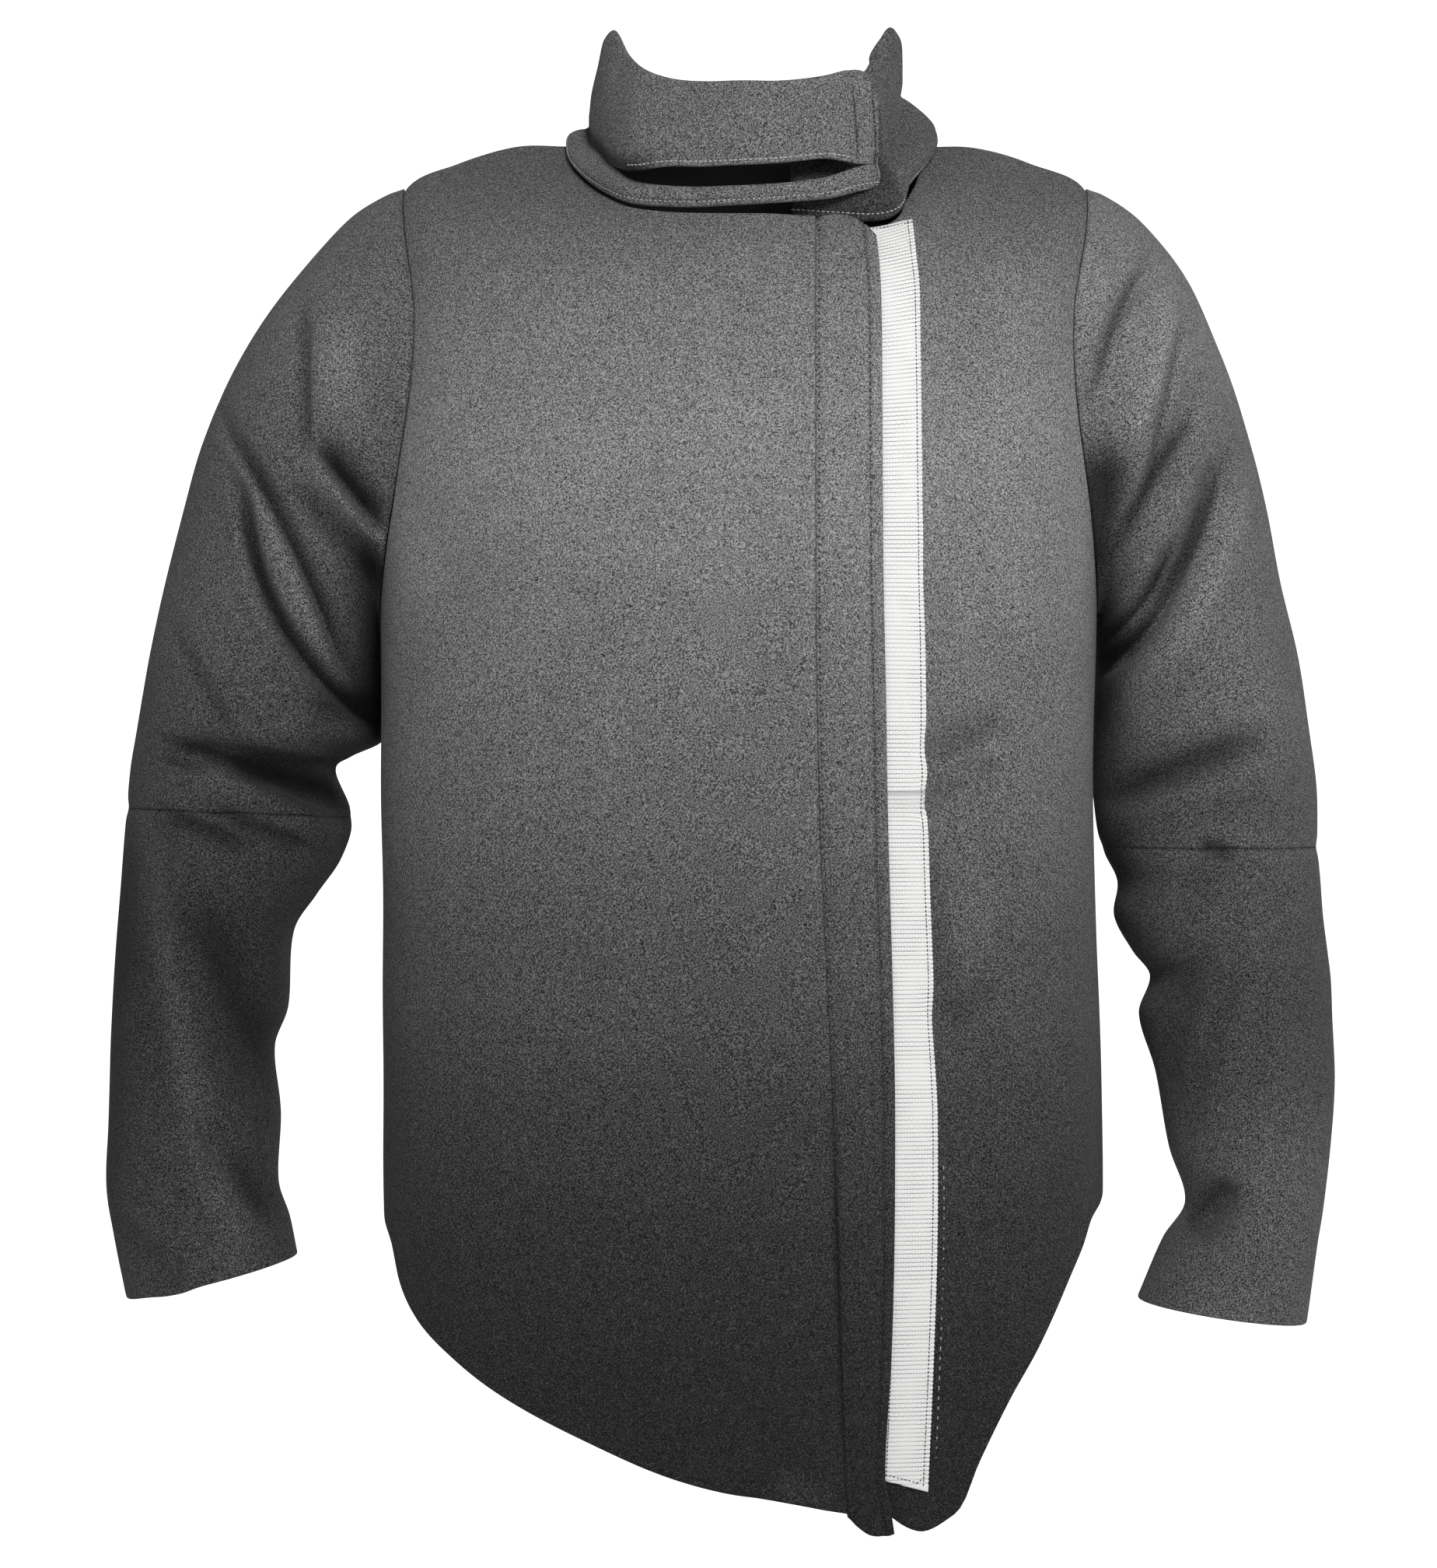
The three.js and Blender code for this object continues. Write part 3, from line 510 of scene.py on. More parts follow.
# %% [markdown]
# ## From a surface to a piece of cloth
# A cut piece has an outside, an inside and a rim, and padded cloth is rounded where it is turned
# under. Solidify would give a square rim, so the shell is built from two grids whose distance
# shrinks over the last two millimetres. Its UV map is in metres along the cloth for the weave.

# %% Shells
RIM_AT = np.array([0.0, 0.3, 0.8, 1.6, 2.6])  # extra lines near an edge, in mm from it
RIM_SHARE = np.array([0.3, 0.66, 0.88, 0.98, 1.0])  # share of the wall left there


def spaced(length, step):
    """Distances from 0 to length: close together at both ends and even between them."""
    count = max(int(round((length - 2 * RIM_AT[-1]) / step)), 2)
    middle = np.linspace(RIM_AT[-1], length - RIM_AT[-1], count + 1)
    return np.concatenate([RIM_AT[:-1], middle, length - RIM_AT[:-1][::-1]])


def rim_share(distances, length, first=True, last=True):
    """Share of the wall that is left at each distance, rounded at the edges that are asked for."""
    share = np.ones_like(distances)
    if first:
        share = np.minimum(share, np.interp(distances, RIM_AT, RIM_SHARE))
    if last:
        share = np.minimum(share, np.interp(length - distances, RIM_AT, RIM_SHARE))
    return share


def grid_faces(lines, count, looped):
    """Corner numbers of the wall's quads, and the same corners in a grid whose last line is new."""
    size = lines * count
    last = lines if looped else lines - 1
    ids = np.arange(2 * size).reshape(2, lines, count)
    places = np.arange(2 * (lines + 1) * count).reshape(2, lines + 1, count)
    if looped:
        ids = np.concatenate([ids, ids[:, :1]], 1)
    else:
        ids = np.concatenate([ids, ids[:, -1:]], 1)
    quads, kinds = [], []

    def add(kind, *corners):
        flat = [np.broadcast_to(c, corners[0].shape).ravel() for c in corners]
        quads.append(np.stack(flat, -1))
        kinds.append(np.full(len(quads[-1]), kind))

    p = places
    a, b = p[0, :last, :-1], p[0, :last, 1:]
    c, d = p[0, 1 : last + 1, 1:], p[0, 1 : last + 1, :-1]
    add(0, a, b, c, d)
    a, b = p[1, :last, :-1], p[1, 1 : last + 1, :-1]
    c, d = p[1, 1 : last + 1, 1:], p[1, :last, 1:]
    add(1, a, b, c, d)
    add(0, p[0, :last, 0], p[0, 1 : last + 1, 0], p[1, 1 : last + 1, 0], p[1, :last, 0])
    add(0, p[0, 1 : last + 1, -1], p[0, :last, -1], p[1, :last, -1], p[1, 1 : last + 1, -1])
    if not looped:
        add(0, p[0, 0, 1:], p[0, 0, :-1], p[1, 0, :-1], p[1, 0, 1:])
        add(0, p[0, last, :-1], p[0, last, 1:], p[1, last, 1:], p[1, last, :-1])
    corners = np.concatenate(quads)
    return ids.ravel()[corners], corners, np.concatenate(kinds)


def shell(name, outer, inner, across, down, edge, lie, light=1.0, looped=False):
    """A closed piece of cloth from two grids of points in millimetres. across and down are the
    distances along the cloth for its UV map, edge is 1 at a seam or rim, the argument after it is
    the cloth's own tone with painted shade in it, and light is the share of light that reaches the
    place, painted in as shade."""
    lines, count = outer.shape[:2]
    corners, places, kinds = grid_faces(lines, count, looped)
    points = np.concatenate([outer.reshape(-1, 3), inner.reshape(-1, 3)]) * MM
    p = points[corners]
    volume = np.einsum("ij,ij->", p[:, 0], np.cross(p[:, 1], p[:, 2]) + np.cross(p[:, 2], p[:, 3]))
    if volume < 0:
        corners, places = corners[:, ::-1], places[:, ::-1]
    mesh = bpy.data.meshes.new(name)
    mesh.from_pydata(points.tolist(), [], corners.tolist())
    if looped:
        across = np.concatenate([across, across[:1] * 0 + looped], 0)
        down = np.concatenate([down, down[:1]], 0)
    else:
        across = np.concatenate([across, across[-1:]], 0)
        down = np.concatenate([down, down[-1:]], 0)
    flat = np.stack([across, down], -1).reshape(-1, 2) * MM
    layer = mesh.uv_layers.new(name="cloth")
    layer.data.foreach_set("uv", np.concatenate([flat, flat])[places.ravel()].ravel())
    for label, values in (("edge", edge), ("lie", lie), ("light", light)):
        mark = mesh.attributes.new(label, "FLOAT", "POINT")
        spread = np.broadcast_to(values, outer.shape[:2]).ravel()
        mark.data.foreach_set("value", np.tile(spread, 2).astype(np.float32))
    mesh.polygons.foreach_set("use_smooth", np.ones(len(corners), bool))
    mesh.polygons.foreach_set("material_index", kinds.astype(np.int32))
    mesh.update()
    piece = bpy.data.objects.new(name, mesh)
    bpy.context.collection.objects.link(piece)
    middle = (outer + inner) / 2
    span = np.linalg.norm(np.diff(middle, axis=0), axis=-1)
    drop = np.linalg.norm(np.diff(middle, axis=1), axis=-1)
    area = float((span[:, :-1] * drop[:-1]).sum()) * MM * MM
    print(
        f"{name}: {len(corners) * 2} triangles, {span.sum(0).max():.0f} mm round, "
        f"{drop.sum(1).max():.0f} mm long, about {area:.4f} square metres"
    )
    return piece


# %% [markdown]
# ## Tone and painted shade
# The cloth is darker towards the hem, and the darker neck is partly painted shade, where the
# shoulders slope away from the light. On the sleeves the values are painted shade: the right
# sleeve, turned away from the light, is darker than the left, and both are darkest at the elbow.
# A texture could hold that, but it is kept on the mesh as an attribute. A second one holds the
# light that a fold or a seam keeps out, as painted shade.

# %% Tone and painted shade by depth
# Darker towards the hem; near the neck it is partly painted shade, where the shoulders slope away from the
# light.
BODY_TONE_AND_SHADE = table(
    "depth lie",
    [
        [20, 0.53], [60, 0.66], [105, 0.85], [187, 1.0], [270, 0.8], [352, 0.62], [435, 0.39],
        [480, 0.31], [517, 0.22], [560, 0.165], [600, 0.115], [684, 0.07], [780, 0.045],
    ],
)
# Painted shade on the sleeves: the right one, away from the light, is darker than the left.
RIGHT_SLEEVE_TONE_AND_SHADE = table(
    "depth lie",
    [
        [0, 0.6], [100, 0.6], [180, 0.45], [266, 0.42], [309, 0.3], [352, 0.25], [395, 0.18],
        [437, 0.14], [480, 0.14], [522, 0.16], [565, 0.19], [640, 0.22],
    ],
)
LEFT_SLEEVE_TONE_AND_SHADE = table(
    "depth lie",
    [
        [0, 0.8], [100, 0.85], [180, 0.62], [230, 0.6], [310, 0.55], [352, 0.42], [437, 0.28],
        [480, 0.24], [522, 0.28], [565, 0.38], [640, 0.42],
    ],
)
# A seam's dark line is painted shade, kept in the light attribute.
SEAM_LINE = 0.9  # reach of the dark line that a seam draws, in mm


def tone_and_shade_of(points, rows):
    return read(rows, "depth", -points[..., 2], "lie")


def beside_seam(distance, depth=0.6):
    """Share of light left at a distance from a seam: painted shade along the seam's line."""
    return 1 - depth * np.exp(-((distance / SEAM_LINE) ** 2))


# %% [markdown]
# ## Cloth, lining, tape and thread
# The jacket is of dark padded cloth with a short nap: near black, with a pale salt-and-pepper
# grain and a fine twill under it. An image of cloth would repeat and blur, so noise and waves make
# the grain. One node group holds the grain, because the cloth and its lining both use it.

# %% Node helpers
def new_material(name):
    material = bpy.data.materials.new(name)
    material.use_nodes = True
    return material, material.node_tree.nodes, material.node_tree.links


def new_group(name, inputs, outputs):
    group = bpy.data.node_groups.new(name, "ShaderNodeTree")
    for label, kind, value in inputs:
        socket = group.interface.new_socket(name=label, in_out="INPUT", socket_type=kind)
        if value is not None:
            socket.default_value = value
    for label, kind in outputs:
        group.interface.new_socket(name=label, in_out="OUTPUT", socket_type=kind)
    start = group.nodes.new("NodeGroupInput")
    end = group.nodes.new("NodeGroupOutput")
    return group, start, end


def maths(tree, operation, first, second=None, third=None):
    """A Math node whose inputs are sockets or plain numbers. Returns its output."""
    node = tree.nodes.new("ShaderNodeMath")
    node.operation = operation
    for k, value in enumerate((first, second, third)):
        if value is None:
            continue
        if isinstance(value, (int, float)):
            node.inputs[k].default_value = value
        else:
            tree.links.new(value, node.inputs[k])
    return node.outputs[0]


def noise(tree, vector, scale, detail=2.0, roughness=0.5):
    node = tree.nodes.new("ShaderNodeTexNoise")
    node.inputs["Detail"].default_value = detail
    node.inputs["Roughness"].default_value = roughness
    tree.links.new(vector, node.inputs["Vector"])
    if isinstance(scale, (int, float)):
        node.inputs["Scale"].default_value = scale
    else:
        tree.links.new(scale, node.inputs["Scale"])
    return node.outputs[0]


def attribute(material, name):
    """Value that the mesh carries at each point under a name."""
    made = material.node_tree.nodes.new("ShaderNodeAttribute")
    made.attribute_name = name
    return made.outputs["Fac"]


def tint(material, colour, strength):
    """Sets the base colour to a colour times a strength."""
    tree = material.node_tree
    scaled = tree.nodes.new("ShaderNodeVectorMath")
    scaled.operation = "SCALE"
    if isinstance(colour, tuple):
        scaled.inputs[0].default_value = colour
    else:
        tree.links.new(colour, scaled.inputs[0])
    tree.links.new(strength, scaled.inputs["Scale"])
    tree.links.new(scaled.outputs[0], tree.nodes["Principled BSDF"].inputs["Base Color"])


def bump(material, height, strength, distance):
    tree = material.node_tree
    relief = tree.nodes.new("ShaderNodeBump")
    relief.inputs["Strength"].default_value = strength
    relief.inputs["Distance"].default_value = distance
    tree.links.new(height, relief.inputs["Height"])
    tree.links.new(relief.outputs["Normal"], tree.nodes["Principled BSDF"].inputs["Normal"])


# %% The shared grain of the cloth
grain_group, grain_in, grain_out = new_group(
    "cloth grain",
    [
        ("Place", "NodeSocketVector", None),
        ("Cloth place", "NodeSocketVector", None),
        ("Grain scale", "NodeSocketFloat", 900.0),
        ("Twill pitch", "NodeSocketFloat", 0.0016),
    ],
    [("Grain", "NodeSocketFloat"), ("Height", "NodeSocketFloat"), ("Nap", "NodeSocketFloat")],
)
fine = noise(grain_group, grain_in.outputs["Place"], grain_in.outputs["Grain scale"], 3.0, 0.65)
finer_scale = maths(grain_group, "MULTIPLY", grain_in.outputs["Grain scale"], 2.7)
finer = noise(grain_group, grain_in.outputs["Place"], finer_scale, 1.0)
nap = noise(grain_group, grain_in.outputs["Place"], 22.0, 3.0)
split = grain_group.nodes.new("ShaderNodeSeparateXYZ")
grain_group.links.new(grain_in.outputs["Cloth place"], split.inputs[0])
diagonal = maths(grain_group, "ADD", split.outputs[0], maths(grain_group, "MULTIPLY", split.outputs[1], 0.55))
per_rib = maths(grain_group, "DIVIDE", 6.2832, grain_in.outputs["Twill pitch"])
twill = maths(grain_group, "SINE", maths(grain_group, "MULTIPLY", diagonal, per_rib))
coarse_part = maths(grain_group, "MULTIPLY", fine, 0.62)
mixed = maths(grain_group, "ADD", coarse_part, maths(grain_group, "MULTIPLY", finer, 0.38))
ribbed = maths(grain_group, "MULTIPLY_ADD", twill, 0.008, mixed)
grain_group.links.new(ribbed, grain_out.inputs["Grain"])
grain_group.links.new(ribbed, grain_out.inputs["Height"])
grain_group.links.new(nap, grain_out.inputs["Nap"])


# %% Padded cloth and lining
def cloth_material(name, base, contrast, grain_scale, roughness, sheen, relief):
    """Pale flecks stand out more where the cloth is darker, its painted shade included, so they fade with the
    root of its shade.
    """
    material, nodes, links = new_material(name)
    tree = material.node_tree
    shader = nodes["Principled BSDF"]
    shader.inputs["Roughness"].default_value = roughness
    shader.inputs["Sheen Weight"].default_value = sheen
    shader.inputs["Sheen Roughness"].default_value = 0.45
    shader.inputs["Specular IOR Level"].default_value = 0.2
    place = nodes.new("ShaderNodeTexCoord")
    cloth_place = nodes.new("ShaderNodeUVMap")
    cloth_place.uv_map = "cloth"
    grain = nodes.new("ShaderNodeGroup")
    grain.node_tree = grain_group
    grain.inputs["Grain scale"].default_value = grain_scale
    links.new(place.outputs["Object"], grain.inputs["Place"])
    links.new(cloth_place.outputs["UV"], grain.inputs["Cloth place"])
    mottled = maths(tree, "MULTIPLY_ADD", grain.outputs["Nap"], 0.30, 0.85)
    worn = maths(tree, "MULTIPLY_ADD", attribute(material, "edge"), 0.15, 1.0)
    shade = maths(tree, "MULTIPLY", maths(tree, "MULTIPLY", mottled, worn), attribute(material, "lie"))
    fleck = maths(tree, "MULTIPLY_ADD", grain.outputs["Grain"], contrast, -0.5 * contrast)
    flecked = maths(tree, "MULTIPLY_ADD", fleck, maths(tree, "POWER", shade, 0.62), shade)
    tone = maths(tree, "MULTIPLY", maths(tree, "MAXIMUM", flecked, 0.02), attribute(material, "light"))
    tint(material, base, tone)
    bump(material, grain.outputs["Height"], relief, 0.0006)
    return material


cloth = cloth_material("padded cloth", (0.2, 0.2005, 0.2025), 12.0, 1250.0, 0.85, 0.06, 0.9)
lining = cloth_material("lining", (0.02, 0.0205, 0.0215), 3.0, 1100.0, 0.8, 0.02, 0.3)
print("cloth and lining made")

# %% [markdown]
# ## Woven tape
# The white tape is a ribbed ribbon: a fine rib runs across it every couple of millimetres, with
# short grey dashes in the grooves where the weft shows. The ribs are real relief, made later with
# Geometry Nodes, and this finish paints the dashes into the same grooves through the UV map.

# %% Tape finish
RIB_PITCH = 2.3
DASH_PITCH = 3.1


def tape_material():
    material, nodes, links = new_material("woven tape")
    tree = material.node_tree
    shader = nodes["Principled BSDF"]
    shader.inputs["Roughness"].default_value = 0.62
    shader.inputs["Sheen Weight"].default_value = 0.1
    place = nodes.new("ShaderNodeUVMap")
    place.uv_map = "cloth"
    split = nodes.new("ShaderNodeSeparateXYZ")
    links.new(place.outputs["UV"], split.inputs[0])
    rib = maths(tree, "FRACT", maths(tree, "DIVIDE", split.outputs[1], RIB_PITCH * MM))
    groove = maths(tree, "GREATER_THAN", maths(tree, "ABSOLUTE", maths(tree, "SUBTRACT", rib, 0.5)), 0.365)
    row = maths(tree, "FLOOR", maths(tree, "DIVIDE", split.outputs[1], RIB_PITCH * MM))
    shift = maths(tree, "MULTIPLY", row, 0.5)
    across = maths(tree, "DIVIDE", split.outputs[0], DASH_PITCH * MM)
    dash = maths(tree, "LESS_THAN", maths(tree, "FRACT", maths(tree, "ADD", across, shift)), 0.74)
    coordinates = nodes.new("ShaderNodeTexCoord")
    patch = noise(tree, coordinates.outputs["Object"], 60.0, 3.0)
    faded = nodes.new("ShaderNodeMapRange")
    faded.inputs["From Min"].default_value = 0.3
    faded.inputs["From Max"].default_value = 0.6
    faded.inputs["To Min"].default_value = 0.35
    faded.inputs["To Max"].default_value = 0.85
    links.new(patch, faded.inputs["Value"])
    grey = maths(tree, "MULTIPLY", maths(tree, "MULTIPLY", groove, dash), faded.outputs[0])
    mix = nodes.new("ShaderNodeMix")
    mix.data_type = "RGBA"
    mix.inputs["A"].default_value = (0.80, 0.80, 0.79, 1)
    mix.inputs["B"].default_value = (0.17, 0.17, 0.175, 1)
    links.new(grey, mix.inputs["Factor"])
    tint(material, mix.outputs["Result"], attribute(material, "light"))
    bump(material, noise(tree, coordinates.outputs["Object"], 2600.0, 1.0), 0.5, 0.0002)
    return material


tape_finish = tape_material()


# %% Thread finishes
def thread_material(name, colour, variation):
    material, nodes, _ = new_material(name)
    tree = material.node_tree
    shader = nodes["Principled BSDF"]
    shader.inputs["Roughness"].default_value = 0.55
    shader.inputs["Sheen Weight"].default_value = 0.1
    place = nodes.new("ShaderNodeTexCoord")
    spots = noise(tree, place.outputs["Object"], 350.0, 2.0)
    tint(material, colour, maths(tree, "MULTIPLY_ADD", spots, variation, 1 - variation / 2))
    bump(material, noise(tree, place.outputs["Object"], 5000.0, 1.0), 0.4, 0.0001)
    return material


grey_thread = thread_material("grey thread", (0.42, 0.42, 0.42), 0.9)
black_thread = thread_material("black thread", (0.012, 0.012, 0.013), 0.5)
white_thread = thread_material("white thread", (0.75, 0.75, 0.74), 0.3)

# %% [markdown]
# ## Fronts and back
# The body is three panels sewn at the sides and shoulders: an over front, an under front inside
# it, and one back. Each is a patch of the same block between two edges. The cloth sinks a little
# into every seam, as it does where it is stitched, and painted shade darkens the line along the
# seam.

# %% Panels of the body
PANEL_STEP = 3.0
SEAM_SINK = 0.9  # how deep the cloth is drawn in at a seam
SEAM_REACH = 4.5
DENSE = 400


def soften(points):
    """Slight unevenness of padded cloth, in mm, from a few waves that never repeat together."""
    x, y, z = points[..., 0], points[..., 1], points[..., 2]
    waves = np.sin(x / 23.0 + z / 41.0) * np.cos(z / 29.0 - y / 37.0)
    return 0.22 * waves + 0.16 * np.sin(x / 11.0 - z / 17.0 + 2.0 * np.sin(y / 31.0))


def groove_light(distance, point):
    """Light left in the groove along the placket's seam, which gets deeper towards the hem."""
    depth = 0.55 * ease(-point[..., 2], 490, 600) * ease(point[..., 2], -760, -600)
    return 1 - depth * np.exp(-((distance / 2.6) ** 2))


def along_cloth(points):
    """Distance down each line of points from its first one."""
    steps = np.linalg.norm(np.diff(points, axis=1), axis=-1)
    return np.concatenate([np.zeros((len(points), 1)), steps], 1).cumsum(1)


def end_rims(distances, length):
    """Share of the wall left near the two ends of lines of different lengths."""
    from_first, from_last = [np.interp(d, RIM_AT, RIM_SHARE) for d in (distances, length - distances)]
    return np.minimum(from_first, from_last)


def panel(name, surface, columns_step, from_angle, to_angle, neck, hem, seams):
    """A body panel. seams says which of its two side edges are drawn in."""

    def angle_of(level, offset, share):
        return from_angle(level, offset) * (1 - share) + to_angle(level, offset) * share

    dense = np.linspace(0, 1, DENSE)
    ring = body_form(angle_of(np.full(DENSE, 350.0), 0.0, dense), 350.0)
    lengths = np.concatenate([[0], np.cumsum(np.linalg.norm(np.diff(ring, axis=0), axis=1))])
    across = spaced(lengths[-1], columns_step)
    share = np.interp(across, lengths, dense)
    hem_level = np.full(len(share), 600.0)
    for _ in range(4):
        hem_level = read(hem, "angle", angle_of(hem_level, 0.0, share), "level")
    top = read(neck, "angle", angle_of(0.0, 0.0, share), "level") if neck else np.zeros(len(share))
    neck_down = np.concatenate([RIM_AT[:-1], np.linspace(RIM_AT[-1], 95, 28)[:-1]]) / 95
    turns = np.linspace(0, 180, 62)
    body_length = 400.0
    body_down = spaced(body_length, PANEL_STEP)[len(RIM_AT) - 1 :][1:] / body_length
    levels, offsets = [], []
    for part in neck_down:
        levels.append(top + (SHOULDER_LEVEL - top) * part)
        offsets.append(np.zeros(len(share)))
    for turn in turns:
        level, offset = armhole_edge(turn)
        levels.append(np.full(len(share), level))
        offsets.append(np.full(len(share), offset))
    for part in body_down:
        levels.append(ARMPIT_LEVEL + (hem_level - ARMPIT_LEVEL) * part)
        offsets.append(np.zeros(len(share)))
    level = np.stack(levels, 1)
    offset = np.stack(offsets, 1)
    angle = angle_of(level, offset, share[:, None])
    point = surface(angle, level)
    normal = normal_of(surface, angle, level, BODY_STEP, BODY_STEP)
    drop = along_cloth(point)
    side_share = rim_share(across, across[-1], not seams[0], not seams[1])[:, None]
    end_share = end_rims(drop, drop[:, -1:])
    wall = CLOTH * np.minimum(side_share, end_share)
    near = np.zeros(level.shape)
    if seams[0]:
        near = np.maximum(near, np.exp(-((across[:, None] / SEAM_REACH) ** 2)))
    if seams[1]:
        near = np.maximum(near, np.exp(-(((across[-1] - across[:, None]) / SEAM_REACH) ** 2)))
    near = near * np.where(offset > 0, 0.4, 1.0)
    sink = SEAM_SINK * near - soften(point) * (1 - near)
    middle = point - normal * (CLOTH / 2 + sink)[..., None]
    edge = np.maximum(near * 0.6, 1 - np.minimum(side_share, end_share))
    across_grid = np.broadcast_to(across[:, None], level.shape)
    half = (wall / 2)[..., None]
    faces_front = ease(np.sin(turned(angle)), 0.03, 0.15)
    light = 1 - fold_sum(BODY_SHADES, point[..., 0], point[..., 2]) * faces_front
    if seams[0]:
        light = light * beside_seam(across[:, None], np.where(offset > 0, 0.25, 0.6))
    if seams[1]:
        light = light * beside_seam(across[-1] - across[:, None], 0.22)
        light = light * groove_light(across[-1] - across[:, None], point)
    outside, inside = middle + normal * half, middle - normal * half
    return shell(name, outside, inside, across_grid, drop, edge, tone_and_shade_of(point, BODY_TONE_AND_SHADE), light)


front_right = panel(
    "over_front",
    body_surface,
    PANEL_STEP,
    lambda level, offset: 180 - gap_turn(level) - offset,
    lambda level, offset: angle_at(read(CLOSING, "level", level, "seam"), level) + gap_turn(level),
    OVER_TOP,
    HEM_OVER,
    (True, True),
)
front_left = panel(
    "under_front",
    under_surface,
    PANEL_STEP,
    lambda level, offset: gap_turn(level) + offset,
    lambda level, offset: angle_at(UNDER_EDGE_X, level),
    UNDER_NECK,
    HEM_UNDER,
    (True, False),
)
back = panel(
    "back_panel",
    body_surface,
    PANEL_STEP * 1.2,
    lambda level, offset: 180 + gap_turn(level) + offset,
    lambda level, offset: 360 - gap_turn(level) - offset,
    None,
    HEM_BACK,
    (True, True),
)

# %% [markdown]
# ## Placket
# A long strip sewn to the over front's edge covers the opening. Two rows of stitches run down it,
# one at its seam and one near its free edge, and draw shallow channels. The strip needs closer
# lines across than the fronts, so that a channel is real relief that the stitches can lie in.

# %% Strips down the front
PLACKET_TOP = 9
PLACKET_END = 752  # level at which the strip is measured for its hem
PLACKET_WIDTH = 35.0
PLACKET_CORNER = 30
CHANNEL_IN = 6.6  # second row of stitches, from the free edge
SEAM_ROW_IN = 1.8  # first row, from the seam


def strip_angle(share, level, from_x, to_x):
    x = from_x(level) * (1 - share) + to_x(level) * share
    return angle_at(x, level)


def placket_seam(level):
    return read(CLOSING, "level", level, "seam") + SEAM_GAP


def placket_edge(level):
    return read(CLOSING, "level", level, "edge")


def channel(share, level):
    """Depth drawn in by the two rows of stitches, in mm."""
    width = placket_edge(level) - placket_seam(level)
    from_edge, from_seam = (1 - share) * width, share * width
    row = 0.75 * np.exp(-(((from_edge - CHANNEL_IN) / 1.5) ** 2))
    return row + 0.9 * np.exp(-((from_seam / 3.2) ** 2)) + 0.45 * ease(from_edge, 4.5, 0)


def placket_surface(share, level):
    angle = strip_angle(share, level, placket_seam, placket_edge)
    point = body_surface(angle, level)
    normal = normal_of(body_surface, angle, level, BODY_STEP, BODY_STEP)
    puff = 0.5 * np.sin(np.pi * np.clip((share - 0.05) / 0.72, 0, 1)) ** 0.8
    return point + normal * (puff - channel(share, level) + soften(point) * 0.8)[..., None], normal


def strip_grid(name, surface, across, rows, top_of, end_of, wall, light_of, sewn):
    """A long strip. sewn says that its first edge is sewn down and so isn't rounded."""
    share = across / across[-1]
    top, end = top_of(share)[:, None], end_of(share)[:, None]
    down = spaced(700.0, rows) / 700.0
    level = top + (end - top) * down
    point, normal = surface(np.broadcast_to(share[:, None], level.shape), level)
    drop = along_cloth(point)
    middle_line = len(share) // 2
    level_down = np.interp(level, level[middle_line], drop[middle_line])
    side = rim_share(across, across[-1], first=not sewn)[:, None]
    left = np.minimum(side, end_rims(drop, drop[:, -1:]))
    middle = point - normal * (wall / 2)
    half = normal * (wall / 2 * left)[..., None]
    across_grid = np.broadcast_to(across[:, None], level.shape)
    light = light_of(point, across_grid)
    lie = tone_and_shade_of(point, BODY_TONE_AND_SHADE)
    return shell(name, middle + half, middle - half, across_grid, level_down, 1 - left, lie, light)


def placket_top(share):
    return PLACKET_TOP + PLACKET_CORNER * share**3


def placket_end(share):
    seam, edge = [read(CLOSING, "level", PLACKET_END, name) for name in ("seam", "edge")]
    x = seam * (1 - share) + edge * share
    return read(HEM_PLACKET, "angle", angle_at(x, PLACKET_END), "level")


def placket_light(point, across):
    row = beside_seam(PLACKET_WIDTH - CHANNEL_IN - across, 0.32)
    return beside_seam(across, 0.25) * groove_light(across, point) * row


placket = strip_grid(
    "placket_strip",
    placket_surface,
    spaced(PLACKET_WIDTH, 1.0),
    2.8,
    placket_top,
    placket_end,
    CLOTH,
    placket_light,
    True,
)

# %% [markdown]
# ## Collar
# The standing collar has two padded bands. The lower one is a soft roll along the neck seam, and
# the upper one stands on it, open from it in front for a hand's width. Both are one strip round
# the neck, read from its own table, which keeps the rolled join parallel all the way.

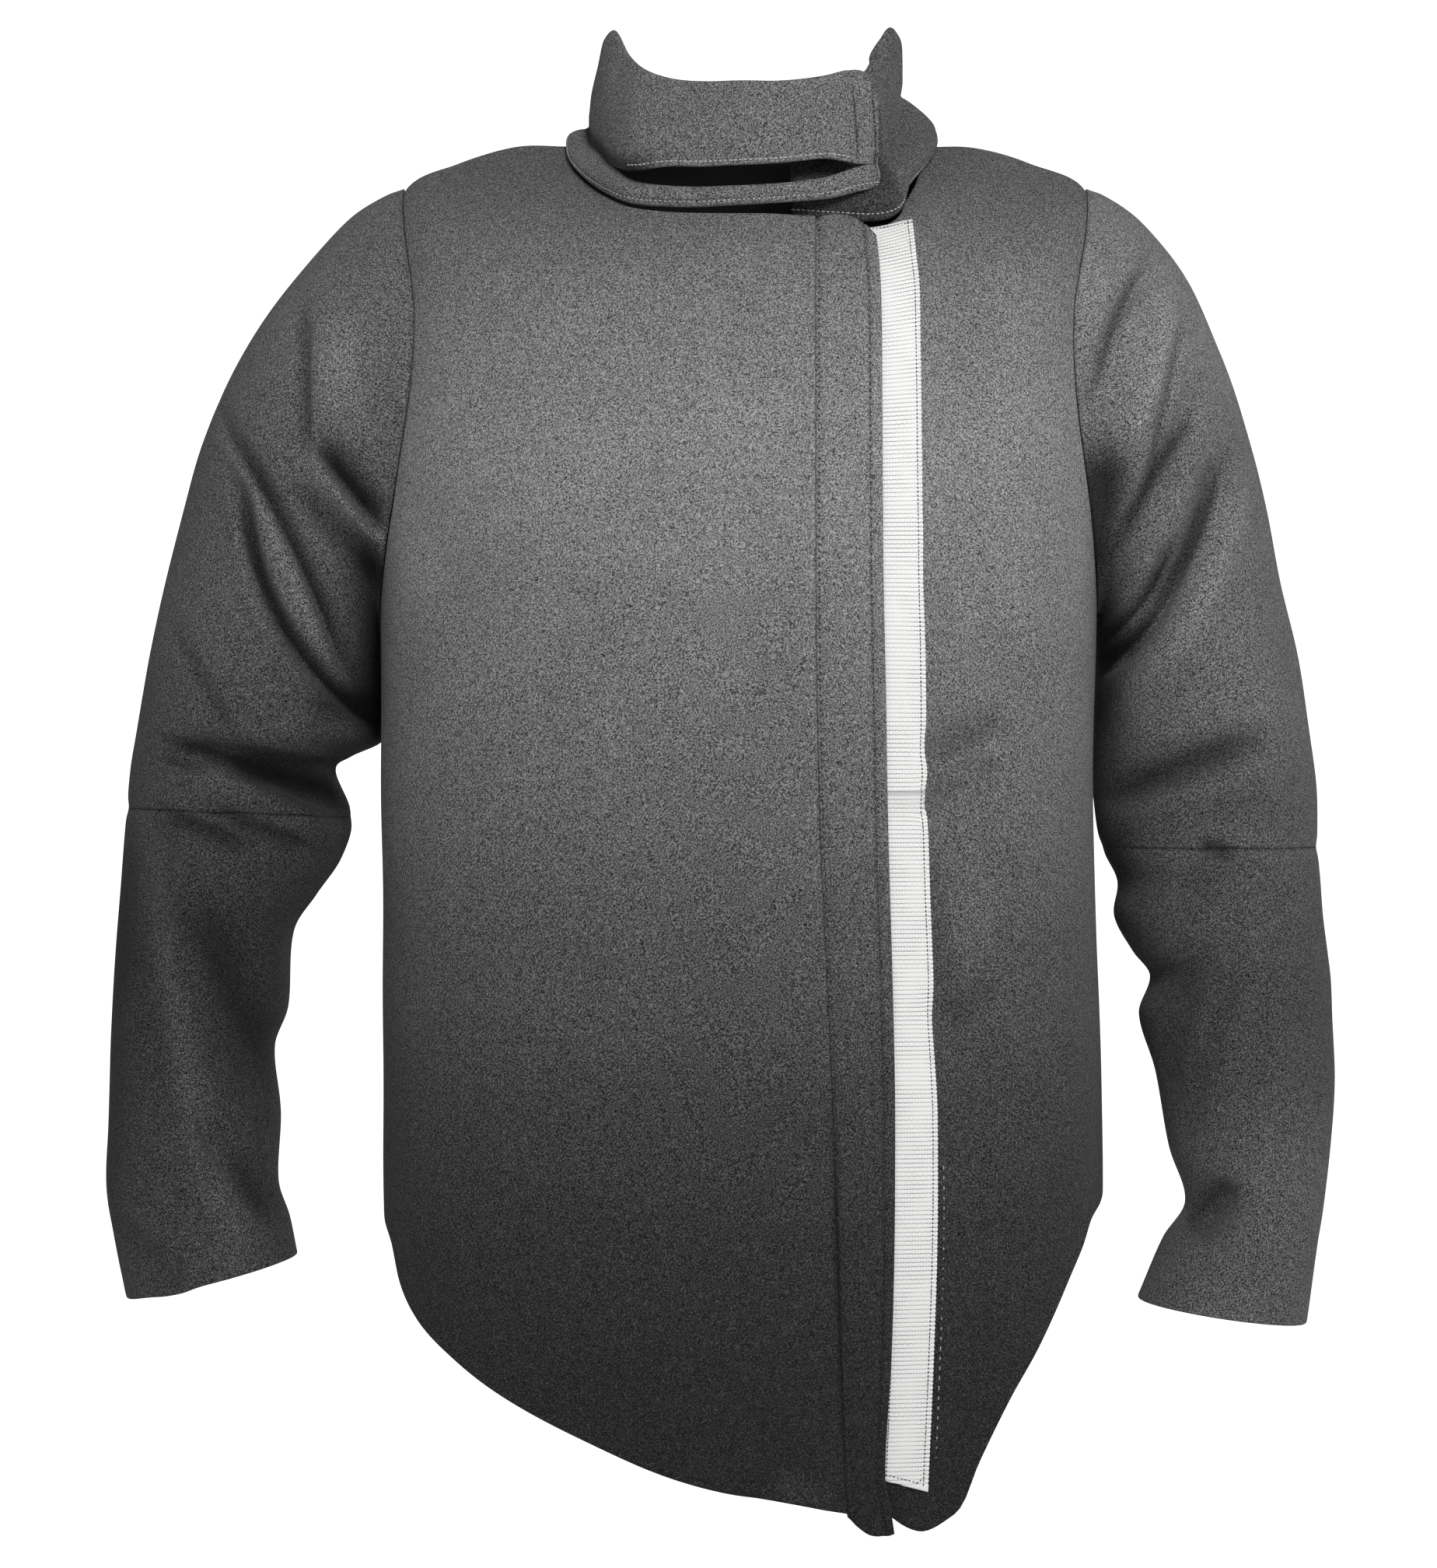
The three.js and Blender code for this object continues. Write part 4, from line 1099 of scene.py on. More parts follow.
# %% Collar table
COLLAR_LEVELS = ["seam", "belly", "join", "mid", "top"]
COLLAR_SHARES = np.array([0, 0.18, 0.36, 0.68, 1.0])
COLLAR = table(
    "travel seamOut seamUp bellyOut bellyUp joinOut joinUp midOut midUp topOut topUp",
    [
        [47, 7, 3.5, 9, 9, 9, 17, 8.5, 34, 8, 53],
        [49, 7.6, 4, 9.5, 9, 8.8, 18, 7.2, 39, 4.6, 65.5],
        [51, 8, 4, 9.5, 9, 8.5, 18.5, 6, 42, 2.4, 70],
        [56, 8, 4, 9, 9, 8, 19.5, 5.5, 43, 0, 72.2],
        [64, 6, 3, 7.5, 9, 7, 20.5, 5, 45, -1, 71.5],
        [78, 3.5, 3.5, 5.5, 9, 5, 20, 3.5, 46, -3, 71.5],
        [90, 2.5, 3, 5, 8.5, 4, 19.5, 2.5, 46, -5, 72.5],
        [103, 2, 1.5, 4.5, 7.5, 3, 18.5, 1, 45, -7, 72],
        [114, 2, 1, 4.5, 7.5, 2, 18.5, -1, 45, -9, 73],
        [126, 2, 1, 4, 7.5, -1, 17.5, -4, 45, -13, 77],
        [140, 1.5, 1, 3, 7.5, -5, 16.5, -9, 46, -18, 79],
        [150, 1, 1, 2, 7, -7.5, 17, -11, 47, -19, 83],
        [157, 0.5, 1, 1.5, 6.5, -8.5, 16, -12, 45, -19, 82.5],
        [166, 0, 1, 1, 6, -9, 14, -13, 39, -18, 72],
        [180, 0, 1, 0.5, 5, -9.5, 11.5, -13.5, 31, -18.5, 53],
        [200, 0, 1.5, 0.5, 6, -9, 12, -12, 27, -16, 41],
        [225, 0, 2, 0.5, 7, -8, 14, -10, 28, -14, 41],
        [270, 0, 2, 0.5, 8, -7, 16, -9, 30, -12, 43],
        [315, 0, 2, 0.5, 9, -8, 18, -10, 31, -13, 42],
        [340, 2, 2, 3.5, 10, -9.5, 23, -11, 33, -12, 43],
        [360, 4, 2, 6.5, 11, -10.5, 28, -11.5, 40, -11, 55],
        [372, 5, 1.5, 7.5, 12, -10, 27, -11.5, 45, -12, 73],
        [380, 5, 0.6, 7.5, 12, -10, 26, -12, 49, -12.5, 82],
        [388, 4.2, -0.8, 6.5, 12, -10, 26, -12.5, 51, -14.5, 81],
        [398, 3.4, -2.2, 5.5, 12, -9.5, 27, -13.5, 53, -20, 79],
        [404, 2.6, -2.6, 3.5, 12, -10.3, 27.5, -14.5, 55, -26, 79.5],
        [410, 1.6, -2.6, 1, 12, -11, 28, -16, 56, -29, 80],
        [418, -3.5, -1, -4, 12, -11.5, 27, -16.5, 54, -29.5, 77],
        [434, -9, 1, -9, 12, -13, 24, -18, 50, -30, 70],
    ],
)
COLLAR_JOIN = 0.36
COLLAR_FROM, COLLAR_TO = 47, 434
SLOT_FROM, SLOT_TO = 50, 140
SLOT_HEIGHT = 9
COLLAR_HEIGHT = 62.0  # usual height of the strip where the bands join


def collar_form(travel, share):
    travel, share = np.broadcast_arrays(np.asarray(travel, float), np.asarray(share, float))
    angle = travel % 360
    over, under = read(OVER_NECK, "angle", angle, "level"), read(UNDER_NECK, "angle", angle, "level")
    start = np.where((travel > 180) & (travel < 360), 0.0, np.where(travel > 270, under, over))
    base = body_form(angle, start)
    across = body_form(angle + 1, start) - body_form(angle - 1, start)
    across[..., 2] = 0
    across = unit(across)
    outward = np.stack([-across[..., 1], across[..., 0], 0 * across[..., 0]], -1)
    drop = np.where(travel > 360, under_drop(base[..., 0], angle), 0.0)
    outs = np.stack([read(COLLAR, "travel", travel, f"{name}Out") for name in COLLAR_LEVELS])
    ups = np.stack([read(COLLAR, "travel", travel, f"{name}Up") for name in COLLAR_LEVELS])
    point = base + outward * (smooth(COLLAR_SHARES, outs, share) + drop)[..., None]
    point[..., 2] += smooth(COLLAR_SHARES, ups, share)
    return point


# %% Collar bands
LOW_STITCH_UP = 3.8  # row of stitches above the neck seam
LOW_PUFF, HIGH_PUFF = 1.2, 0.7  # how far each band swells between its edges
HIGH_STITCH_UP = 2.6  # row above the free lower edge of the upper band
TAB_INNER, TAB_OUTER = 54.8, 48.4  # the two upright rows at the over end, in degrees of travel


def slot(travel):
    return ease(travel, SLOT_FROM, SLOT_FROM + 18) * (1 - ease(travel, SLOT_TO - 30, SLOT_TO))


def low_top(travel):
    return COLLAR_JOIN - (SEAM_GAP + SLOT_HEIGHT / 2 * slot(travel)) / COLLAR_HEIGHT


def high_bottom(travel):
    return COLLAR_JOIN + (SEAM_GAP + SLOT_HEIGHT / 2 * slot(travel)) / COLLAR_HEIGHT


def collar_outward(travel, share):
    return -normal_of(collar_form, travel, share, 1.0, 0.02)


def band(name, travels, rows, low, high, puff, stitch_up, join_on_top):
    """A collar band between two shares of the strip, plumped between its edges."""
    height = 24.0 if name.startswith("lower") else 44.0
    up = spaced(height, rows)
    part = up / height
    share = low(travels)[:, None] * (1 - part) + high(travels)[:, None] * part
    travel = np.broadcast_to(travels[:, None], share.shape)
    point = collar_form(travel, share)
    outward = collar_outward(travel, share)
    climb = along_cloth(point)
    run = np.concatenate([[0], np.linalg.norm(np.diff(point[:, 0], axis=0), axis=-1)]).cumsum()
    top = climb[:, -1:]
    open_here = slot(travel)
    from_join = top - climb if join_on_top else climb
    from_free = climb if join_on_top else top - climb
    at_join = 1 - (1 - np.interp(from_join, RIM_AT, RIM_SHARE)) * open_here
    left = np.minimum(np.interp(from_free, RIM_AT, RIM_SHARE), at_join)
    left = np.minimum(left, end_rims(run, run[-1])[:, None])
    swell = puff * np.sin(np.pi * np.clip(climb / np.maximum(top, 1), 0, 1)) ** 0.7
    drawn = 0.8 * np.exp(-(((climb - stitch_up) / 1.3) ** 2))
    tab = 0.8 * tab_channel(travel)
    crease = ease(travel, 112, 126) * (1 - ease(travel, 178, 196))
    drawn = drawn + (0.7 + 0.9 * crease) * (1 - open_here) * np.exp(-((from_join / 3.0) ** 2))
    middle = point + outward * (swell - drawn - tab - COLLAR_CLOTH / 2 + soften(point) * 0.7)[..., None]
    half = outward * (COLLAR_CLOTH / 2 * left)[..., None]
    run_grid = np.broadcast_to(run[:, None], share.shape)
    # Painted shade on the under end: darker where it turns to the front, and darker still where the over end
    # covers it and the slot shows it.
    lie = 0.66 - 0.21 * ease(travel, 350, 365) - 0.28 * ease(travel, 403, 409)
    shadow = 1.5 if join_on_top else 8.0  # the upper band turns in under itself at the join
    light = 1 - 0.85 * crease * np.exp(-((from_join / shadow) ** 2))
    # Painted shade along the upright rows of stitches at the over end.
    needle_rows = np.exp(-(((travel - TAB_OUTER) / 0.4) ** 2))
    if not join_on_top:
        inner_row = np.exp(-(((travel - TAB_INNER) / 0.4) ** 2))
        needle_rows = needle_rows + inner_row * (part > 0.1) * (part < 0.86)
    light = light * (1 - 0.45 * needle_rows)
    return shell(name, middle + half, middle - half, run_grid, climb, 1 - left, lie, light)


def tab_channel(travel):
    """Channels of the two upright rows of stitches at the over end."""
    return np.exp(-(((travel - TAB_OUTER) / 0.8) ** 2)) + np.exp(-(((travel - TAB_INNER) / 0.9) ** 2))


travels = np.concatenate([
    np.linspace(COLLAR_FROM, COLLAR_FROM + 14, 44)[:-1],
    np.linspace(COLLAR_FROM + 14, 130, 70)[:-1],
    np.linspace(130, 360, 150)[:-1],
    np.linspace(360, COLLAR_TO, 70),
])
lower_band = band(
    "lower_collar_band",
    travels,
    1.6,
    lambda travel: np.full(travel.shape, 0.01),
    low_top,
    LOW_PUFF,
    LOW_STITCH_UP,
    True,
)
upper_band = band(
    "upper_collar_band",
    travels,
    2.2,
    high_bottom,
    lambda travel: np.ones(travel.shape),
    HIGH_PUFF,
    HIGH_STITCH_UP,
    False,
)

# %% [markdown]
# ## Sleeves
# Each sleeve is a tube with a seam across it at the elbow. Its rings follow the arm's outer and
# inner edges, and at the root they take on the armhole's own outline, so that the sleeve grows
# out of the body. The creases under the arm and at the elbow are laid on the front.

# %% Sleeve rings
RIGHT, LEFT = -1, 1
RING = "along outX outZ inX inZ y front back"
SLEEVE = {
    RIGHT: table(RING, [
        [0, 190, -27, 204, -262, 0, 60, 58], [35, 222, -43, 204.5, -266, 10, 68, 70],
        [75, 255.5, -76, 204.2, -271, 17, 73, 76], [120, 284.5, -118, 204, -278, 22, 76, 79],
        [165, 304, -161, 203.8, -287, 26, 77, 80], [205, 316.5, -202, 203.5, -297, 28, 76, 79],
        [245, 327, -242, 203, -309, 30, 74, 77], [285, 336, -283, 203, -322, 31, 71, 75],
        [308, 340, -307, 206, -332, 30, 70, 74], [328, 343, -327, 223, -340, 29, 69, 74],
        [346, 346, -346, 231.5, -348, 28, 67, 73], [368, 348, -369, 221.5, -374, 25, 66, 71],
        [390, 349.5, -391, 227, -397, 21, 64, 68], [415, 350.5, -415, 241, -418, 16, 62, 64],
        [440, 351.5, -440, 253, -438, 11, 60, 60], [480, 352.5, -480, 255, -480, 1, 57, 55],
        [505, 353, -506, 262, -502, -5, 55, 53], [545, 353, -545, 258, -538, -14, 52, 50],
        [582, 352.5, -577, 258, -575, -23, 49, 47], [605, 348, -602, 251, -594, -29, 47, 46],
        [632, 340, -638, 246, -614.5, -36, 46, 45],
    ]),
    LEFT: table(RING, [
        [0, 191, -27, 199, -262, 0, 60, 58], [35, 222, -43, 198.5, -266, 10, 68, 70],
        [75, 248, -71, 198.2, -271, 17, 73, 76], [120, 268, -113, 198, -278, 22, 76, 79],
        [165, 283.5, -157, 197.8, -287, 26, 77, 80], [205, 294.5, -200, 197.8, -297, 28, 76, 79],
        [245, 303.5, -243, 197.8, -309, 29, 74, 77], [285, 313.5, -286, 197.8, -323, 30, 71, 75],
        [320, 319.5, -325, 197.5, -342, 29, 69, 73], [350, 323.5, -358, 198, -364, 28, 67, 72],
        [385, 323.5, -391, 202, -391, 24, 66, 70], [405, 324.5, -410, 211, -410, 20, 64, 67],
        [428, 325.5, -430, 209, -430, 16, 62, 63], [450, 327.5, -452, 219, -450, 11, 60, 60],
        [463, 328.5, -465, 228, -463, 8, 59, 58], [485, 328.5, -486, 221, -484, 2, 57, 55],
        [520, 328.5, -520, 229.5, -516, -7, 54, 52], [557, 325, -555, 236, -557, -16, 51, 49],
        [590, 320, -589, 244, -587, -24, 48, 46], [612, 315.5, -611, 231, -606, -30, 47, 45],
        [652, 308.5, -651.5, 216, -638, -37, 46, 45],
    ]),
}
ELBOW = {RIGHT: 368, LEFT: 385}
ELBOW_GAP = 0.2
ROOT_LIFT = 0.5
ROOT_INSET = 0.3
ROOT_LAP = 0.5  # how far the sleeve's edge lies over the armhole's edge
CAP_LENGTH = 80
SLEEVE_CREASES = {
    RIGHT: join(RIGHT_FOLDS, FINE_RIGHT_FOLDS),
    LEFT: join(LEFT_FOLDS, FINE_LEFT_FOLDS),
}
SLEEVE_SHADES = {RIGHT: RIGHT_SHADES, LEFT: LEFT_SHADES}
SLEEVE_TONE_AND_SHADE = {RIGHT: RIGHT_SLEEVE_TONE_AND_SHADE, LEFT: LEFT_SLEEVE_TONE_AND_SHADE}
SLEEVE_STEP = 2.0


# %% Sleeve surface
def sleeve_form(side):
    rings = SLEEVE[side]

    def form(turn, along):
        turn, along = np.broadcast_arrays(np.asarray(turn, float), np.asarray(along, float))
        ring = {name: smooth(rings["along"], rings[name], along) for name in rings if name != "along"}
        out = (1 + np.cos(turned(turn))) / 2
        forth = np.sin(turned(turn))
        return np.stack(
            [
                side * (ring["inX"] + (ring["outX"] - ring["inX"]) * out),
                ring["y"] - forth * np.where(forth > 0, ring["front"], ring["back"]),
                ring["inZ"] + (ring["outZ"] - ring["inZ"]) * out,
            ],
            -1,
        )

    return form


def root_point(side, turn, lift, inset=ROOT_INSET):
    """The armhole's edge at a turn round the sleeve, lifted off the body."""
    front = np.sin(turned(turn)) >= 0
    level, offset = armhole_edge(np.where(front, turn, 360 - turn), inset)
    middle = 180 if side == RIGHT else 360
    forwards = -1 if side == RIGHT else 1
    angle = middle + forwards * np.where(front, offset, -offset)
    point = body_surface(angle, level)
    normal = normal_of(body_surface, angle, level, BODY_STEP, BODY_STEP)
    return point + normal * lift


def sleeve_surface(side):
    form = sleeve_form(side)

    def creases(point, normal, turn, along):
        x, z = point[..., 0], point[..., 2]
        from_armpit = np.hypot(x - side * 204, z + ARMPIT_LEVEL)
        front = fold_sum(SLEEVE_CREASES[side], x, z) * ease(-normal[..., 1], 0, 0.5)
        front = front * ease(from_armpit, 6, 26)
        behind = 0.45 * fold_sum(SLEEVE_CREASES[-side], -x, z - 8) * ease(normal[..., 1], 0.2, 0.7)
        return front + behind

    folded = raised(form, SLEEVE_STEP, SLEEVE_STEP, side, creases)

    def surface(turn, along):
        turn, along = np.broadcast_arrays(np.asarray(turn, float), np.asarray(along, float))
        keep = (1 - ease(along, 0, CAP_LENGTH))[..., None]
        part = ease(along, 0, 30)[..., None]
        root = root_point(side, (turn + 360) % 360, ROOT_LIFT + CLOTH)
        pull = (root - form(turn, np.zeros_like(along))) * keep
        return folded(turn, along) * part + form(turn, along) * (1 - part) + pull

    return surface


# %% Sleeve pieces
FRONT_COLUMNS, BACK_COLUMNS = 130, 38
SLEEVE_ROWS = 2.15  # distance between the rings, in mm


def sleeve_piece(name, side, upper, step):
    surface = sleeve_surface(side)
    first = 0.0 if upper else ELBOW[side] + ELBOW_GAP / 2
    end = ELBOW[side] - ELBOW_GAP / 2 if upper else SLEEVE[side]["along"][-1]
    turns = np.concatenate([
        np.linspace(0, 180, FRONT_COLUMNS + 1)[:-1],
        np.linspace(180, 360, BACK_COLUMNS + 1)[:-1],
    ])
    down = spaced(end - first, step)
    along = np.broadcast_to(first + down, (len(turns), len(down)))
    turn = np.broadcast_to(turns[:, None], along.shape)
    point = surface(turn, along)
    normal = normal_of(surface, turn, along, SLEEVE_STEP, SLEEVE_STEP) * side
    drop = along_cloth(point)
    left = np.broadcast_to(rim_share(down, down[-1], False, not upper), along.shape)
    near_first = np.exp(-((drop / SEAM_REACH) ** 2))
    near_last = np.exp(-(((drop[:, -1:] - drop) / SEAM_REACH) ** 2))
    seam = near_last if upper else near_first
    sink = SEAM_SINK * seam - soften(point) * (1 - np.maximum(near_first, near_last))
    inner_at = CLOTH + np.where(seam > 0.01, sink, -soften(point) * (1 - near_first))
    inner = point - normal * inner_at[..., None]
    wall = CLOTH * left
    centre = inner + normal * (CLOTH / 2)
    outer = centre + normal * (wall / 2)[..., None]
    inner = centre - normal * (wall / 2)[..., None]
    if upper:
        low = root_point(side, turns, 0.15, -ROOT_LAP)
        lift = root_point(side, turns, 0.95, -ROOT_LAP)
        blend = np.exp(-((drop / 4.0) ** 2))[..., None]
        outer = outer * (1 - blend) + (outer + (lift - outer[:, 0])[:, None]) * blend
        inner = inner * (1 - blend) + (inner + (low - inner[:, 0])[:, None]) * blend
    girth = np.linalg.norm(np.diff(np.concatenate([point, point[:1]]), axis=0), axis=-1)
    middle_row = girth[:, girth.shape[1] // 2]
    run = np.concatenate([[0], middle_row[:-1]]).cumsum()
    run_grid = np.broadcast_to(run[:, None], along.shape)
    edge = np.maximum(seam * 0.6, 1 - left)
    x, z = point[..., 0], point[..., 2]
    # Painted shade: the creases' troughs and the listed sleeve shades darken the light, and a shade below
    # nought paints a highlight on a raised fold.
    faces_front = ease(np.sin(turned(turn)), 0.03, 0.25)
    trough_shade = np.clip(-fold_sum(SLEEVE_CREASES[side], x, z) / 8.0, 0, 1) * faces_front
    deep = np.clip(fold_sum(SLEEVE_SHADES[side], x, z), -0.9, 0.95) * faces_front
    lie = tone_and_shade_of(point, SLEEVE_TONE_AND_SHADE[side])
    light = (1 - 0.3 * trough_shade) * (1 - deep) * beside_seam(drop[:, -1:] - drop if upper else drop, 0.5)
    if upper:
        light = light * beside_seam(drop, 0.2)
    return shell(name, outer, inner, run_grid, drop, edge, lie, light, looped=float(middle_row.sum()))


sleeve_upper_right = sleeve_piece("right_upper_sleeve", RIGHT, True, SLEEVE_ROWS)
sleeve_upper_left = sleeve_piece("left_upper_sleeve", LEFT, True, SLEEVE_ROWS)
sleeve_lower_right = sleeve_piece("right_lower_sleeve", RIGHT, False, SLEEVE_ROWS)
sleeve_lower_left = sleeve_piece("left_lower_sleeve", LEFT, False, SLEEVE_ROWS)

# %% [markdown]
# ## Tape on the under front
# The tape lies on the under front with its inner edge beneath the placket. Its ribs repeat along
# its whole length, so a Geometry Nodes tree lifts them: it reads the cloth's UV map and moves each
# point along its normal by a wave.

# %% Tape
TAPE = 1.1
TAPE_LIFT = 0.8
TAPE_WIDTH = 25.0
TAPE_TOP = 26
TAPE_END = 727
TOP_SLANT, END_SLANT = 5, 7  # how much lower the outer edge starts and ends
TAPE_JOIN_Z = -359.0  # a small overlap where one length of tape meets the next


def tape_outer(level):
    return read(CLOSING, "level", level, "tape")


def tape_inner(level):
    return tape_outer(level) - TAPE_WIDTH


def tape_surface(share, level):
    angle = strip_angle(share, level, tape_inner, tape_outer)
    point = under_surface(angle, level)
    normal = normal_of(under_surface, angle, level, BODY_STEP, BODY_STEP)
    step = 0.8 * (1 - ease(point[..., 2], TAPE_JOIN_Z - 1.2, TAPE_JOIN_Z + 0.4))
    step = step * ease(point[..., 2], TAPE_JOIN_Z - 16, TAPE_JOIN_Z - 8)
    return point + normal * (TAPE + TAPE_LIFT + step)[..., None], normal


def tape_light(point, _):
    below = TAPE_JOIN_Z - 1.0 - point[..., 2]
    return 1 - 0.55 * np.exp(-((below / 0.9) ** 2)) - 0.12 * ease(below, 0, 2) * ease(-below, -14, -4)


tape_plain = strip_grid(
    "tape_strip",
    tape_surface,
    spaced(TAPE_WIDTH, 2.2),
    0.58,
    lambda share: TAPE_TOP + TOP_SLANT * share,
    lambda share: TAPE_END + END_SLANT * share,
    TAPE,
    tape_light,
    False,
)


# %% Geometry Nodes helpers
def new_tree(name, inputs):
    tree = bpy.data.node_groups.new(name, "GeometryNodeTree")
    tree.is_modifier = True
    tree.interface.new_socket(name="Geometry", in_out="INPUT", socket_type="NodeSocketGeometry")
    for label, kind, value in inputs:
        socket = tree.interface.new_socket(name=label, in_out="INPUT", socket_type=kind)
        if value is not None:
            socket.default_value = value
    tree.interface.new_socket(name="Geometry", in_out="OUTPUT", socket_type="NodeSocketGeometry")
    start, end = tree.nodes.new("NodeGroupInput"), tree.nodes.new("NodeGroupOutput")
    return tree, start.outputs, end


def node(tree, kind, inputs=None, **settings):
    made = tree.nodes.new(kind)
    for name, value in settings.items():
        setattr(made, name, value)
    for key, value in (inputs or {}).items():
        if isinstance(value, bpy.types.NodeSocket):
            tree.links.new(value, made.inputs[key])
        else:
            made.inputs[key].default_value = value
    return made


def apply_tree(piece, tree, values):
    """Runs the tree on the piece with the given inputs and keeps the result as a plain mesh."""
    modifier = piece.modifiers.new(tree.name, "NODES")
    modifier.node_group = tree
    for item in tree.interface.items_tree:
        if item.item_type == "SOCKET" and item.in_out == "INPUT" and item.name in values:
            modifier[item.identifier] = values[item.name]
    graph = bpy.context.evaluated_depsgraph_get()
    mesh = bpy.data.meshes.new_from_object(piece.evaluated_get(graph), depsgraph=graph)
    name = piece.name
    old = piece.data
    piece.modifiers.clear()
    made = bpy.data.objects.new(name + "_made", mesh)
    bpy.context.collection.objects.link(made)
    bpy.data.objects.remove(piece)
    made.name = name
    if isinstance(old, bpy.types.Mesh):
        bpy.data.meshes.remove(old)
    print(name, "has", sum(len(p.vertices) - 2 for p in mesh.polygons), "triangles")
    return made


# %% Ribs of the tape
rib_tree, rib_in, rib_end = new_tree(
    "tape ribs",
    [
        ("Rib pitch", "NodeSocketFloat", 0.0023),
        ("Rib height", "NodeSocketFloat", 0.00018),
        ("Finish", "NodeSocketMaterial", None),
    ],
)
cloth_place = node(
    rib_tree, "GeometryNodeInputNamedAttribute", {"Name": "cloth"}, data_type="FLOAT_VECTOR"
)
place_parts = node(rib_tree, "ShaderNodeSeparateXYZ", {0: cloth_place.outputs[0]})
per_pitch = node(
    rib_tree,
    "ShaderNodeMath",
    {0: place_parts.outputs[1], 1: rib_in["Rib pitch"]},
    operation="DIVIDE",
)
round_it = node(rib_tree, "ShaderNodeMath", {0: per_pitch.outputs[0], 1: 2 * math.pi}, operation="MULTIPLY")
wave = node(rib_tree, "ShaderNodeMath", {0: round_it.outputs[0]}, operation="COSINE")
lift = node(rib_tree, "ShaderNodeMath", {0: wave.outputs[0], 1: rib_in["Rib height"]}, operation="MULTIPLY")
lowered = node(rib_tree, "ShaderNodeMath", {0: lift.outputs[0], 1: -1.0}, operation="MULTIPLY")
facing = node(rib_tree, "GeometryNodeInputNormal")
push = node(rib_tree, "ShaderNodeVectorMath", {0: facing.outputs[0]}, operation="SCALE")
rib_tree.links.new(lowered.outputs[0], push.inputs["Scale"])
moved = node(
    rib_tree, "GeometryNodeSetPosition", {"Geometry": rib_in["Geometry"], "Offset": push.outputs[0]}
)
real = node(rib_tree, "GeometryNodeRealizeInstances", {0: moved.outputs[0]})
finished = node(
    rib_tree, "GeometryNodeSetMaterial", {"Geometry": real.outputs[0], "Material": rib_in["Finish"]}
)
rib_tree.links.new(finished.outputs[0], rib_end.inputs[0])
tape = apply_tree(
    tape_plain, rib_tree, {"Rib pitch": RIB_PITCH * MM, "Rib height": 0.24 * MM, "Finish": tape_finish}
)

# %% [markdown]
# ## Stitches
# A lockstitch shows as short loops of thread that dip into the cloth at each needle hole. Modelled
# one by one they would be hundreds of objects, so one Geometry Nodes tree walks along a path,
# places a small arched thread at each pitch and leans it into the surface.

# %% Stitch tree
stitch_tree, stitch_in, stitch_end = new_tree(
    "row of stitches",
    [
        ("Pitch", "NodeSocketFloat", 0.003),
        ("Stitch length", "NodeSocketFloat", 0.0022),
        ("Thread", "NodeSocketFloat", 0.0006),
        ("Finish", "NodeSocketMaterial", None),
        ("Seed", "NodeSocketInt", 4),
    ],
)
path = node(stitch_tree, "GeometryNodeMeshToCurve", {0: stitch_in["Geometry"]})
walk = node(stitch_tree, "GeometryNodeResampleCurve", {"Curve": path.outputs[0]}, mode="LENGTH")
stitch_tree.links.new(stitch_in["Pitch"], walk.inputs["Length"])
up = node(stitch_tree, "GeometryNodeInputNamedAttribute", {"Name": "up"}, data_type="FLOAT_VECTOR")
heading = node(stitch_tree, "GeometryNodeInputTangent")
ahead = node(stitch_tree, "FunctionNodeAlignRotationToVector", {"Vector": heading.outputs[0]}, axis="X")
upright = node(
    stitch_tree,
    "FunctionNodeAlignRotationToVector",
    {"Rotation": ahead.outputs[0], "Vector": up.outputs[0]},
    axis="Z",
    pivot_axis="X",
)


def times(value, factor):
    """A socket of the stitch tree times a number."""
    return node(stitch_tree, "ShaderNodeMath", {0: value, 1: factor}, operation="MULTIPLY")


half_length = times(stitch_in["Stitch length"], 0.5)
back_half = times(half_length.outputs[0], -1.0)
dip = times(stitch_in["Thread"], -0.7)
rise = times(stitch_in["Thread"], 1.1)
thread_start = node(stitch_tree, "ShaderNodeCombineXYZ", {0: back_half.outputs[0], 2: dip.outputs[0]})
thread_top = node(stitch_tree, "ShaderNodeCombineXYZ", {2: rise.outputs[0]})
thread_end = node(stitch_tree, "ShaderNodeCombineXYZ", {0: half_length.outputs[0], 2: dip.outputs[0]})
arch = node(
    stitch_tree,
    "GeometryNodeCurveQuadraticBezier",
    {
        "Resolution": 4,
        "Start": thread_start.outputs[0],
        "Middle": thread_top.outputs[0],
        "End": thread_end.outputs[0],
    },
)
radius = times(stitch_in["Thread"], 0.5)
section = node(
    stitch_tree, "GeometryNodeCurvePrimitiveCircle", {"Resolution": 5, "Radius": radius.outputs[0]}
)
thread = node(
    stitch_tree,
    "GeometryNodeCurveToMesh",
    {"Curve": arch.outputs[0], "Profile Curve": section.outputs[0], "Fill Caps": True},
)
vary = node(stitch_tree, "FunctionNodeRandomValue", {"Seed": stitch_in["Seed"]}, data_type="FLOAT")
vary.inputs[2].default_value = 0.86
vary.inputs[3].default_value = 1.08
placed = node(
    stitch_tree,
    "GeometryNodeInstanceOnPoints",
    {"Points": walk.outputs[0], "Instance": thread.outputs[0], "Rotation": upright.outputs[0]},
)
stitch_tree.links.new(vary.outputs[1], placed.inputs["Scale"])
real = node(stitch_tree, "GeometryNodeRealizeInstances", {0: placed.outputs[0]})
smoothed = node(stitch_tree, "GeometryNodeSetShadeSmooth", {0: real.outputs[0]})
finished = node(
    stitch_tree,
    "GeometryNodeSetMaterial",
    {"Geometry": smoothed.outputs[0], "Material": stitch_in["Finish"]},
)
stitch_tree.links.new(finished.outputs[0], stitch_end.inputs[0])


